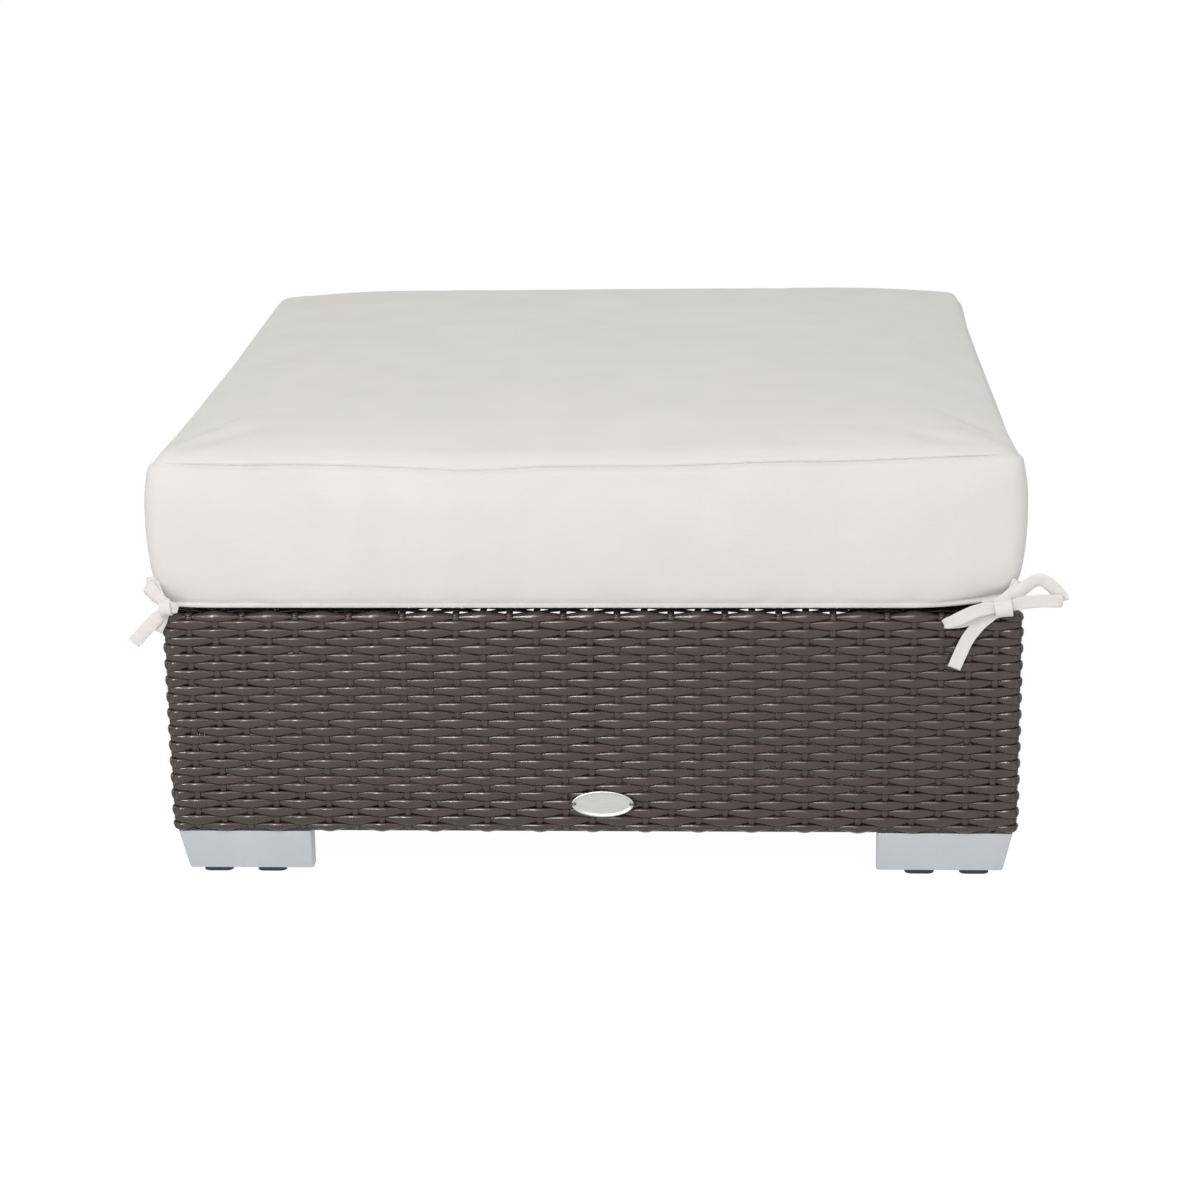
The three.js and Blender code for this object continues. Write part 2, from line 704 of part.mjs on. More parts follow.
function sliderGeometry() {
  const middle_y = (slider_back + slider_front) / 2;
  const body = block(slider_length, slider_thickness, slider_width, 0, middle_y, 0);
  const groove_width = zip_chain_width + 2 * seat_gap;
  const groove_depth = zip_chain_thickness;
  const groove = block(
    slider_length + cut_overrun, groove_depth * 2, groove_width, 0, slider_back, 0,
  );
  const bridge_rise = bridge_opening + bridge_thickness;
  const bridge = block(
    bridge_length, bridge_rise * 2, bridge_width, 0, slider_front, 0,
  );
  const opening_length = bridge_length - 2 * bridge_thickness;
  const opening = block(
    opening_length, bridge_opening, bridge_width + cut_overrun, 0, pull_axis_y, 0,
  );
  return geometryOf(
    solid(body).add(solid(bridge)).subtract(solid(groove)).subtract(solid(opening)),
  );
}

// Pull tab lying along -X, its crossbar at the origin under the slider's bridge
function pullGeometry() {
  const half = pull_width / 2;
  const half_bar = pull_bar / 2;
  const window_half = bridge_width / 2 + pull_clearance;
  const window_end = bridge_length / 2 + pull_window_margin;
  const shape = new THREE.Shape();
  shape.moveTo(half_bar, -half);
  shape.lineTo(half_bar, half);
  shape.lineTo(-(pull_length - half), half);
  shape.absarc(-(pull_length - half), 0, half, Math.PI / 2, Math.PI * 1.5, false);
  const window_path = new THREE.Path();
  window_path.moveTo(-half_bar, -window_half);
  window_path.lineTo(-window_end, -window_half);
  window_path.lineTo(-window_end, window_half);
  window_path.lineTo(-half_bar, window_half);
  shape.holes.push(window_path);
  const settings = { depth: pull_thickness, bevelEnabled: false, curveSegments: 8 };
  const geometry = new THREE.ExtrudeGeometry(shape, settings);
  geometry.translate(0, 0, -pull_thickness / 2);
  geometry.rotateX(Math.PI / 2);
  return geometry;
}

// Bow outlines in tie widths from the knot's middle, x away from the middle of the base and z up
const right_loop_shares = [
  [-0.1, 0.45], [-1.8, 0.3], [-3.2, -0.1], [-4.3, -1.1], [-4.2, -1.6], [-3, -1.35], [-1.4, -0.6], [-0.1, -0.5],
];
const right_tail_shares = [[-0.45, 0], [-0.95, -1.3], [-3.75, -4.6], [-2.75, -4.95], [-0.1, -1.7], [0.4, 0]];
const right_open_loop_shares = [
  [0.1, 0.4], [0.8, 1.3], [2.3, 2.4], [3.1, 2.3], [4.2, 1.1], [4.6, 0.5], [4.3, 0], [1.6, -0.4], [0.1, -0.5],
];
const right_open_hole_shares = [[3.7, 0.7], [3.4, 1.4], [2.5, 1.7], [1.2, 0.7]];
const right_tab_shares = [[-0.45, 0], [0.45, 0], [0.8, 1.6], [-0.2, 1.6]];
const left_loop_shares = [[-0.4, 0.2], [-0.2, 1.8], [0.2, 2.15], [0.75, 1.9], [1.35, 1], [1.1, 0.3], [0.2, 0]];
const left_tail_shares = [[-0.4, 0], [0.5, -0.9], [1.6, -2.1], [1.95, -3.2], [2.5, -3.3], [2.45, -2.3], [0.9, 0]];
const left_short_shares = [[-0.5, 0], [-0.2, -1], [0.2, -2.1], [0.75, -2], [0.7, -0.9], [0.4, 0]];
const left_wrap_shares = [[0, 0.45], [-1.5, 0.1], [-1.5, -0.75], [0, -0.5]];
const left_tab_shares = [[-0.5, 0], [0.3, 0], [-1, 1.6], [-1.95, 1.6]];

// Slab of a flat outline in the X-Z plane, from one distance in front of the middle to another
function slab(shares, knot_x, side, near, far, hole_shares) {
  const point = ([x, z]) => new THREE.Vector2(side * (knot_x + x * tie_width), knot_z + z * tie_width);
  const shape = new THREE.Shape(shares.map(point));
  if (hole_shares) shape.holes.push(new THREE.Path(hole_shares.map(point)));
  const geometry = new THREE.ExtrudeGeometry(shape, { depth: far - near, bevelEnabled: false });
  geometry.rotateX(Math.PI / 2);
  geometry.translate(0, -near, 0);
  return geometry;
}

const knot_z = deck_top + knot_rise;

// How far the band stands inside the cushion's widest line at a height near its lower edge
function bandInset(z) {
  const share = (z - cushion_bottom) / band_height;
  const next = band_foot_shares.findIndex(([height]) => height >= share);
  const [low, low_draw] = band_foot_shares[next - 1];
  const [high, high_draw] = band_foot_shares[next];
  const draw = low_draw + (high_draw - low_draw) * (share - low) / (high - low);
  return draw * band_foot_draw_in;
}

// A front corner's bow with the sewn tab that carries it. side is 1 on the right and -1 on the left.
function tieGeometry(side) {
  const right = side > 0;
  const knot_x = base_width / 2 - (right ? right_knot_inset : left_knot_inset);
  const knot_near = base_depth / 2 + tie_stand_off;
  const fold_near = knot_near + (knot_depth - tie_fold_thickness) / 4;
  const tab_top = Math.max(...right_tab_shares.map(([, z]) => knot_z + z * tie_width));
  const tab_near = cushion_depth / 2 - bandInset(tab_top) + seat_gap;
  const knot = new THREE.SphereGeometry(1 / 2, 12, 8);
  knot.scale(knot_width, knot_depth, knot_height);
  knot.translate(side * knot_x, -(knot_near + knot_depth / 2), knot_z);
  const folds = right
    ? [[right_loop_shares], [right_tail_shares], [right_open_loop_shares, right_open_hole_shares]]
    : [[left_loop_shares], [left_tail_shares], [left_short_shares], [left_wrap_shares]];
  let bow = solid(knot);
  folds.forEach(([shares, hole]) => {
    bow = bow.add(solid(slab(shares, knot_x, side, fold_near, fold_near + tie_fold_thickness, hole)));
  });
  const tab_shares = right ? right_tab_shares : left_tab_shares;
  const tab = slab(tab_shares, knot_x, side, tab_near, tab_near + tie_tab_thickness);
  return geometryOf(bow.add(solid(tab)));
}

function addCushion() {
  const cloth = material(fabric_colour, 0.9, 0);
  const cushion = new THREE.Group();
  cushion.position.x = cushion_shift_x;
  object.add(cushion);

  const foam_half = cushion_depth / 2 - foam_margin;
  const slot_run = foam_margin + cut_overrun;
  const slot = block(zip_slot_length, slot_run * 2, zip_slot_width, 0, foam_half + cut_overrun, zip_z);
  const cover = solid(loft(cushionRings())).subtract(solid(foamGeometry(foam_gap))).subtract(solid(slot));
  addMesh(cushion, 'cushion_cover', geometryOf(cover), cloth);
  addMesh(cushion, 'foam_core', foamGeometry(0), material(0xe9dfb8, 0.95, 0));

  addMesh(cushion, 'zip_tape', zipTapeGeometry(), material(0xdad8d2, 0.85, 0));
  const metal = material(0xb9bbbd, 0.3, 0.9);
  const slider = addMesh(cushion, 'zip_slider', sliderGeometry(), metal);
  slider.position.set(slider_start_x, 0, zip_z);
  const pull = addMesh(cushion, 'zip_pull', pullGeometry(), metal);
  pull.position.set(slider_start_x, pull_axis_y, zip_z);

  addMesh(object, 'tie_front_right', tieGeometry(1), cloth);
  addMesh(object, 'tie_front_left', tieGeometry(-1), cloth);
  addMesh(object, 'tie_back_left', tieGeometry(1), cloth).rotation.z = Math.PI;
  addMesh(object, 'tie_back_right', tieGeometry(-1), cloth).rotation.z = Math.PI;
}

addFrame();
addFeet();
addWeave();
addBadge();
addCushion();

export default object;
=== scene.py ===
"""Outdoor ottoman footstool: a woven base on four corner feet, with a tied-on box cushion."""
import math

import bmesh
import bpy
import numpy as np
from bpy.props import FloatProperty, FloatVectorProperty, IntProperty, PointerProperty
from mathutils import Matrix, Vector
from mathutils.kdtree import KDTree


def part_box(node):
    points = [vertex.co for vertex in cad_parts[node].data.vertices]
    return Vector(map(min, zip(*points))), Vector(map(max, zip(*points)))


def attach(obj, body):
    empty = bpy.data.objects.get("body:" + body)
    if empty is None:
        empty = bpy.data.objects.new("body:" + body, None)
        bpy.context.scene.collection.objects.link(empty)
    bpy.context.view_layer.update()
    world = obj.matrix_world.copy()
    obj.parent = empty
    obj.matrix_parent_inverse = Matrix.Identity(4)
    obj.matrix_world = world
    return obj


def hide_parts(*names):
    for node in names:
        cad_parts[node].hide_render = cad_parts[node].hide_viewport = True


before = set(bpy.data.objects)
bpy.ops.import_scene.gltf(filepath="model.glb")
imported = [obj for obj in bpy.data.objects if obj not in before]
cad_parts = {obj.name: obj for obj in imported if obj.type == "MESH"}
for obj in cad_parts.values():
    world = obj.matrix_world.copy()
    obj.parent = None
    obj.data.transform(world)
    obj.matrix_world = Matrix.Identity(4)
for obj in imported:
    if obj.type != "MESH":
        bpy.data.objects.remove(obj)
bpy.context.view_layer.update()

bl_info = {
    "name": "Outdoor Ottoman Footstool",
    "version": (1, 0, 0),
    "blender": (4, 5, 0),
    "location": "View3D > Sidebar > Footstool",
    "description": "Builds a woven outdoor footstool with a tied-on cushion, piece by piece",
    "category": "Add Mesh",
}

MM = 0.001
# Edges of the CAD meshes: vertices nearer than this are one, faces nearer to level than the first angle are
# one face, edges sharper than the second are rounded, and edges sharper than the third stay sharp in shading
MERGE_DISTANCE = 1e-6
LEVEL_ANGLE, ROUNDED_ANGLE, SHARP_ANGLE = (math.radians(angle) for angle in (1, 28, 32))

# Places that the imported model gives
skirt_low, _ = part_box("woven_front")
deck_low, deck_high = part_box("woven_deck")
cover_low, cover_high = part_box("cushion_cover")
tape_low, tape_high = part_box("zip_tape")
CORNERS = ("front_left", "front_right", "back_left", "back_right")
SIDES = ("front", "right", "back", "left")


def linear(hex_colour):
    """An sRGB hex colour as linear red, green and blue."""
    parts = [int(hex_colour[i:i + 2], 16) / 255 for i in (1, 3, 5)]
    return tuple(c / 12.92 if c <= 0.04045 else ((c + 0.055) / 1.055) ** 2.4 for c in parts)


def add_node(tree, kind, sockets=(), **settings):
    """Adds a node with its settings. Each input socket named or numbered gets a value, or a link from a node
    or from a socket."""
    node = tree.nodes.new(kind)
    for name, value in settings.items():
        setattr(node, name, value)
    pairs = sockets.items() if isinstance(sockets, dict) else enumerate(sockets)
    for key, value in pairs:
        if isinstance(key, int):
            socket = node.inputs[key]
        else:
            socket = next(s for s in node.inputs if s.name == key and s.enabled)
        sources = value if isinstance(value, list) else [value]
        for source in sources:
            if isinstance(source, bpy.types.Node):
                source = next(s for s in source.outputs if s.enabled)
            if isinstance(source, bpy.types.NodeSocket):
                tree.links.new(source, socket)
            elif source is not None:
                socket.default_value = source
    return node


def new_material(name):
    """An empty node material and its tree."""
    material = bpy.data.materials.get(name) or bpy.data.materials.new(name)
    material.use_nodes = True
    material.node_tree.nodes.clear()
    return material, material.node_tree


# Sizes and colours that a user would change
class WeaveSettings(bpy.types.PropertyGroup):
    row_count: IntProperty(name="Rows", description="Rows of strand on each side", default=27, min=4, max=60)
    deck_row_count: IntProperty(
        name="Deck Rows", description="Rows of strand across the deck", default=84, min=10, max=120,
    )
    stake_pitch: FloatProperty(
        name="Stake Pitch", description="Distance between upright stakes", default=0.02516, min=0.01,
        max=0.06, subtype="DISTANCE",
    )
    strand_width: FloatProperty(
        name="Strand Width", description="Width of the half-round strand", default=0.0086, min=0.002,
        max=0.02, subtype="DISTANCE",
    )
    strand_depth: FloatProperty(
        name="Strand Depth", description="Thickness of the half-round strand", default=0.0036, min=0.0005,
        max=0.006, subtype="DISTANCE",
    )
    stake_width: FloatProperty(
        name="Stake Width", description="Width of a stake", default=0.0066, min=0.002, max=0.02,
        subtype="DISTANCE",
    )
    stake_depth: FloatProperty(
        name="Stake Depth", description="Thickness of a stake", default=0.002, min=0.0005, max=0.006,
        subtype="DISTANCE",
    )
    relief: FloatProperty(
        name="Relief", description="How far a strand's middle passes in front of and behind the stakes",
        default=0.0022, min=0.0005, max=0.005, subtype="DISTANCE",
    )
    unevenness: FloatProperty(
        name="Unevenness", description="How far the hand weaving wanders", default=0.0009, min=0.0,
        max=0.003, subtype="DISTANCE",
    )
    strand_colour: FloatVectorProperty(
        name="Strand Colour", description="Main colour of the resin strand", default=linear("#433633"),
        size=3, min=0.0, max=1.0, subtype="COLOR",
    )


class CushionSettings(bpy.types.PropertyGroup):
    segments: IntProperty(
        name="Segments", description="Mesh faces along each side of the cushion", default=88, min=20,
        max=160,
    )
    crown: FloatProperty(
        name="Crown", description="Rise of the top panel from its edge to its middle", default=0.010,
        min=0.0, max=0.05, subtype="DISTANCE",
    )
    puff: FloatProperty(
        name="Puff", description="Farthest that the stuffed cloth may swell", default=0.004, min=0.0,
        max=0.03, subtype="DISTANCE",
    )
    fill: FloatProperty(
        name="Fill", description="How tightly the cushion is filled", default=0.9, min=0.0, max=1.0,
        subtype="FACTOR",
    )
    cloth_colour: FloatVectorProperty(
        name="Cloth Colour", description="Colour of the outdoor canvas", default=linear("#e1deda"), size=3,
        min=0.0, max=1.0, subtype="COLOR",
    )


class TieSettings(bpy.types.PropertyGroup):
    tape_width: FloatProperty(
        name="Tape Width", description="Width of the tie tape", default=0.0125, min=0.005, max=0.03,
        subtype="DISTANCE",
    )
    tape_thickness: FloatProperty(
        name="Tape Thickness", description="Thickness of the tie tape", default=0.0011, min=0.0003,
        max=0.003, subtype="DISTANCE",
    )


class MetalSettings(bpy.types.PropertyGroup):
    foot_colour: FloatVectorProperty(
        name="Foot Colour", description="Colour of the satin aluminium feet", default=linear("#c3c6ca"),
        size=3, min=0.0, max=1.0, subtype="COLOR",
    )
    frame_colour: FloatVectorProperty(
        name="Frame Colour", description="Colour of the powder coat on the frame", default=linear("#3a3532"),
        size=3, min=0.0, max=1.0, subtype="COLOR",
    )
    edge_round: FloatProperty(
        name="Edge Round", description="Rounding of the feet's edges", default=0.0018, min=0.0, max=0.003,
        subtype="DISTANCE",
    )


class StageSettings(bpy.types.PropertyGroup):
    sky_strength: FloatProperty(
        name="Sky Strength", description="Strength of the even light from all round", default=0.66, min=0.0,
        max=4.0,
    )
    key_power: FloatProperty(
        name="Key Power", description="Power of the large lamp in front", default=40.5, min=0.0, max=1000.0,
        unit="POWER",
    )
    side_power: FloatProperty(
        name="Side Power",
        description="Power of the strip lamp at the upper left, seen only in shiny surfaces", default=52.0,
        min=0.0, max=1000.0, unit="POWER",
    )


# Materials
def resin_wicker(colour):
    """Extruded polyethylene half-round strand, dyed through. It has a satin skin with fine grooves along its
    length, and its shade wanders a little from strand to strand."""
    material, tree = new_material("resin_wicker")
    strand = add_node(tree, "ShaderNodeAttribute", attribute_name="strand")
    parts = add_node(tree, "ShaderNodeSeparateXYZ", [strand.outputs["Vector"]])
    along, across, number = parts.outputs
    own_shade = add_node(tree, "ShaderNodeTexWhiteNoise", {"W": number}, noise_dimensions="1D")
    # Shade drifts over about 60 mm of strand, and streaks run about 5 mm by 0.9 mm
    drift_scale, streak_scale = 1 / 0.06, 1 / 0.005
    drift_along = add_node(tree, "ShaderNodeMath", [along, drift_scale], operation="MULTIPLY")
    drift_place = add_node(tree, "ShaderNodeCombineXYZ", [drift_along, number, 0.0])
    drift = add_node(tree, "ShaderNodeTexNoise", {"Vector": drift_place, "Scale": 1.0, "Detail": 2.0})
    streak_along = add_node(tree, "ShaderNodeMath", [along, streak_scale], operation="MULTIPLY")
    streak_across = add_node(tree, "ShaderNodeMath", [across, 5.0], operation="MULTIPLY")
    streak_place = add_node(tree, "ShaderNodeCombineXYZ", [streak_along, streak_across, number])
    streak = add_node(tree, "ShaderNodeTexNoise", {"Vector": streak_place, "Scale": 1.0, "Detail": 3.0})
    shade = add_node(tree, "ShaderNodeMix", {
        "Factor": 0.28, "A": drift, "B": own_shade.outputs["Value"],
    }, data_type="FLOAT")
    shade = add_node(tree, "ShaderNodeMix", {"Factor": 0.38, "A": shade, "B": streak}, data_type="FLOAT")
    ramp = add_node(tree, "ShaderNodeValToRGB", [shade])
    ramp.color_ramp.elements[0].position = 0.32
    ramp.color_ramp.elements[1].position = 0.7
    # Some lengths lean to green-grey and others to brown
    ramp.color_ramp.elements[0].color = (*[c * k for c, k in zip(colour, (0.82, 0.88, 0.86))], 1)
    ramp.color_ramp.elements[1].color = (*[c * k for c, k in zip(colour, (1.26, 1.14, 1.13))], 1)
    middle = ramp.color_ramp.elements.new(0.52)
    middle.color = (*[c * k for c, k in zip(colour, (1.0, 1.02, 1.0))], 1)
    # The real strand has about eight grooves, drawn as three so that they show
    groove_turn = add_node(tree, "ShaderNodeMath", [across, 3 * math.pi], operation="MULTIPLY")
    groove = add_node(tree, "ShaderNodeMath", [groove_turn], operation="COSINE")
    height = add_node(tree, "ShaderNodeMath", [streak, 1.2, groove], operation="MULTIPLY_ADD")
    bump = add_node(tree, "ShaderNodeBump", {"Strength": 0.24, "Distance": 0.00016, "Height": height})
    rough = add_node(tree, "ShaderNodeMapRange", {"Value": streak, "To Min": 0.14, "To Max": 0.38})
    surface = add_node(tree, "ShaderNodeBsdfPrincipled", {
        "Base Color": ramp, "Roughness": rough, "IOR": 1.5, "Normal": bump,
    })
    add_node(tree, "ShaderNodeOutputMaterial", {"Surface": surface})
    return material


def outdoor_canvas(name, colour):
    """Solution-dyed outdoor canvas in plain weave. It is matt with a faint bloom at grazing angles. The
    threads give it a fine tooth, and a few of them are thicker."""
    material, tree = new_material(name)
    uv = add_node(tree, "ShaderNodeUVMap", uv_map="cloth")
    parts = add_node(tree, "ShaderNodeSeparateXYZ", [uv])
    # Threads stand about 0.5 mm apart in both directions, drawn at 0.8 mm so that they show
    thread = math.pi / (0.8 * MM)
    warp_turn = add_node(tree, "ShaderNodeMath", [parts.outputs[0], thread], operation="MULTIPLY")
    weft_turn = add_node(tree, "ShaderNodeMath", [parts.outputs[1], thread], operation="MULTIPLY")
    warp = add_node(tree, "ShaderNodeMath", [warp_turn], operation="SINE")
    weft = add_node(tree, "ShaderNodeMath", [weft_turn], operation="SINE")
    weave = add_node(tree, "ShaderNodeMath", [warp, weft], operation="MULTIPLY")
    # A thicker stretch of thread is about 17 mm long and 1 mm wide
    slub_place = add_node(tree, "ShaderNodeMapping", {"Vector": uv, "Scale": (60, 900, 1)})
    slub = add_node(tree, "ShaderNodeTexNoise", {"Vector": slub_place, "Scale": 1.0, "Detail": 2.0})
    place = add_node(tree, "ShaderNodeTexCoord")
    # Soft unevenness of the cloth over its padding, about 70 mm from swell to swell
    swell = add_node(
        tree, "ShaderNodeTexNoise", {"Vector": place.outputs["Object"], "Scale": 1 / 0.07, "Detail": 1.5},
    )
    shade = add_node(tree, "ShaderNodeMix", {"Factor": 0.35, "A": swell, "B": slub}, data_type="FLOAT")
    ramp = add_node(tree, "ShaderNodeValToRGB", [shade])
    ramp.color_ramp.elements[0].position = 0.3
    ramp.color_ramp.elements[1].position = 0.7
    ramp.color_ramp.elements[0].color = (*[c * k for c, k in zip(colour, (0.955, 0.955, 0.96))], 1)
    ramp.color_ramp.elements[1].color = (*[min(c * 1.02, 1) for c in colour], 1)
    fine = add_node(tree, "ShaderNodeBump", {"Strength": 0.35, "Distance": 0.00012, "Height": weave})
    slubs = add_node(
        tree, "ShaderNodeBump", {"Strength": 0.3, "Distance": 0.0002, "Height": slub, "Normal": fine},
    )
    soft = add_node(
        tree, "ShaderNodeBump", {"Strength": 0.22, "Distance": 0.004, "Height": swell, "Normal": slubs},
    )
    surface = add_node(tree, "ShaderNodeBsdfPrincipled", {
        "Base Color": ramp, "Roughness": 0.88, "IOR": 1.45, "Normal": soft,
        "Sheen Weight": 0.12, "Sheen Roughness": 0.5,
    })
    add_node(tree, "ShaderNodeOutputMaterial", {"Surface": surface})
    return material


def satin_aluminium(colour):
    """Die-cast aluminium with a satin anodised skin: an even light grey with a soft, wide shine and a very
    fine grain left by blasting."""
    material, tree = new_material("satin_aluminium")
    place = add_node(tree, "ShaderNodeTexCoord")
    # Blasting leaves pits of about 0.6 mm, drawn at 0.9 mm so that they show
    grain = add_node(
        tree, "ShaderNodeTexNoise", {"Vector": place.outputs["Object"], "Scale": 1 / 0.0009, "Detail": 2.0},
    )
    cloud = add_node(
        tree, "ShaderNodeTexNoise", {"Vector": place.outputs["Object"], "Scale": 1 / 0.04, "Detail": 3.0},
    )
    ramp = add_node(tree, "ShaderNodeValToRGB", [cloud])
    ramp.color_ramp.elements[0].color = (*[c * 0.95 for c in colour], 1)
    ramp.color_ramp.elements[1].color = (*[min(c * 1.04, 1) for c in colour], 1)
    rough = add_node(tree, "ShaderNodeMapRange", {"Value": grain, "To Min": 0.42, "To Max": 0.54})
    bump = add_node(tree, "ShaderNodeBump", {"Strength": 0.12, "Distance": 0.0001, "Height": grain})
    surface = add_node(tree, "ShaderNodeBsdfPrincipled", {
        "Base Color": ramp, "Metallic": 0.55, "Roughness": rough, "Normal": bump,
    })
    add_node(tree, "ShaderNodeOutputMaterial", {"Surface": surface})
    return material


def powder_coat(colour):
    """Polyester powder coat on aluminium tube: dark brown, with the fine orange-peel texture of baked
    powder."""
    material, tree = new_material("powder_coat")
    place = add_node(tree, "ShaderNodeTexCoord")
    # The peel's bumps are about 1.4 mm across, and the shade clouds over about 50 mm
    peel = add_node(
        tree, "ShaderNodeTexNoise", {"Vector": place.outputs["Object"], "Scale": 1 / 0.0014, "Detail": 2.0},
    )
    tint = add_node(
        tree, "ShaderNodeTexNoise", {"Vector": place.outputs["Object"], "Scale": 1 / 0.05, "Detail": 2.0},
    )
    ramp = add_node(tree, "ShaderNodeValToRGB", [tint])
    ramp.color_ramp.elements[0].color = (*[c * 0.88 for c in colour], 1)
    ramp.color_ramp.elements[1].color = (*[c * 1.12 for c in colour], 1)
    bump = add_node(tree, "ShaderNodeBump", {"Strength": 0.25, "Distance": 0.0002, "Height": peel})
    surface = add_node(tree, "ShaderNodeBsdfPrincipled", {
        "Base Color": ramp, "Roughness": 0.48, "IOR": 1.5, "Normal": bump,
    })
    add_node(tree, "ShaderNodeOutputMaterial", {"Surface": surface})
    return material


def moulded_polyethylene():
    """Injection-moulded black polyethylene of the glides: dull, scuffed where it meets the ground."""
    material, tree = new_material("moulded_glide")
    place = add_node(tree, "ShaderNodeTexCoord")
    scuff = add_node(
        tree, "ShaderNodeTexNoise", {"Vector": place.outputs["Object"], "Scale": 1 / 0.002, "Detail": 4.0},
    )
    ramp = add_node(tree, "ShaderNodeValToRGB", [scuff])
    ramp.color_ramp.elements[0].color = (*linear("#17181c"), 1)
    ramp.color_ramp.elements[1].color = (*linear("#2b2c31"), 1)
    rough = add_node(tree, "ShaderNodeMapRange", {"Value": scuff, "To Min": 0.5, "To Max": 0.75})
    bump = add_node(tree, "ShaderNodeBump", {"Strength": 0.2, "Distance": 0.0001, "Height": scuff})
    surface = add_node(
        tree, "ShaderNodeBsdfPrincipled", {"Base Color": ramp, "Roughness": rough, "Normal": bump},
    )
    add_node(tree, "ShaderNodeOutputMaterial", {"Surface": surface})
    return material


def brushed_metal(name, low, high, roughness, scale):
    """Plated or polished metal with a fine directional grain: bright, with streaky highlights. scale is the
    count of strokes in a metre along each axis."""
    material, tree = new_material(name)
    place = add_node(tree, "ShaderNodeTexCoord")
    stretched = add_node(tree, "ShaderNodeMapping", {"Vector": place.outputs["Object"], "Scale": scale})
    grain = add_node(tree, "ShaderNodeTexNoise", {"Vector": stretched, "Scale": 1.0, "Detail": 3.0})
    ramp = add_node(tree, "ShaderNodeValToRGB", [grain])
    ramp.color_ramp.elements[0].color = (*linear(low), 1)
    ramp.color_ramp.elements[1].color = (*linear(high), 1)
    rough = add_node(
        tree, "ShaderNodeMapRange", {"Value": grain, "To Min": roughness * 0.8, "To Max": roughness * 1.2},
    )
    bump = add_node(tree, "ShaderNodeBump", {"Strength": 0.15, "Distance": 0.00005, "Height": grain})
    surface = add_node(tree, "ShaderNodeBsdfPrincipled", {
        "Base Color": ramp, "Metallic": 1.0, "Roughness": rough, "Normal": bump,
    })
    add_node(tree, "ShaderNodeOutputMaterial", {"Surface": surface})
    return material


def open_cell_foam():
    """Reticulated polyurethane foam: pale straw, dull, pitted all over by its open cells, with painted shade
    in each pit.
    """
    material, tree = new_material("open_cell_foam")
    place = add_node(tree, "ShaderNodeTexCoord")
    # Cells are about 1.5 mm across
    cells = add_node(tree, "ShaderNodeTexVoronoi", {"Vector": place.outputs["Object"], "Scale": 1 / 0.0015})
    # Each cell is painted darker towards its middle, where its pit lies: painted shade in the pits
    ramp = add_node(tree, "ShaderNodeValToRGB", [cells.outputs["Distance"]])
    ramp.color_ramp.elements[0].color = (*linear("#b9ad84"), 1)
    ramp.color_ramp.elements[1].color = (*linear("#efe6c4"), 1)
    bump = add_node(
        tree, "ShaderNodeBump", {"Strength": 0.8, "Distance": 0.0008, "Height": cells.outputs["Distance"]},
    )
    surface = add_node(
        tree, "ShaderNodeBsdfPrincipled", {"Base Color": ramp, "Roughness": 0.95, "Normal": bump},
    )
    add_node(tree, "ShaderNodeOutputMaterial", {"Surface": surface})
    return material


# Mesh helpers
def link(thing):
    bpy.context.scene.collection.objects.link(thing)
    return thing


def mesh_object(name, vertices, faces, material, cloth_uv=None):
    """A smooth-shaded object of these vertices and faces. cloth_uv gives one pair for each face corner."""
    mesh = bpy.data.meshes.new(name)
    mesh.from_pydata([tuple(v) for v in vertices], [], [tuple(f) for f in faces])
    if cloth_uv is not None:
        layer = mesh.uv_layers.new(name="cloth")
        layer.data.foreach_set("uv", np.asarray(cloth_uv, np.float32).ravel())
    mesh.polygons.foreach_set("use_smooth", [True] * len(mesh.polygons))
    mesh.materials.append(material)
    mesh.update()
    return link(bpy.data.objects.new(name, mesh))


def face_outward(mesh):
    """Turns a closed mesh right side out if its volume comes out negative."""
    mesh.calc_loop_triangles()
    points = np.empty(len(mesh.vertices) * 3)
    mesh.vertices.foreach_get("co", points)
    points = points.reshape(-1, 3)
    corners = np.empty(len(mesh.loop_triangles) * 3, int)
    mesh.loop_triangles.foreach_get("vertices", corners)
    a, b, c = (points[corners.reshape(-1, 3)[:, k]] for k in range(3))
    if np.einsum("ij,ij->i", a, np.cross(b, c)).sum() < 0:
        mesh.flip_normals()


def grown(name, tree, values):
    """A plain mesh object from a Geometry Nodes tree, its inputs set by name."""
    holder = link(bpy.data.objects.new(name, bpy.data.meshes.new(name)))
    modifier = holder.modifiers.new("Shape", "NODES")
    modifier.node_group = tree
    for item in tree.interface.items_tree:
        if item.item_type == "SOCKET" and item.in_out == "INPUT" and item.name in values:
            modifier[item.identifier] = values[item.name]
    graph = bpy.context.evaluated_depsgraph_get()
    mesh = bpy.data.meshes.new_from_object(
        holder.evaluated_get(graph), preserve_all_data_layers=True, depsgraph=graph,
    )
    if not mesh.polygons:
        raise RuntimeError(f"{name}: the node tree made no faces")
    holder.modifiers.clear()
    holder.data = mesh
    face_outward(mesh)
    return holder


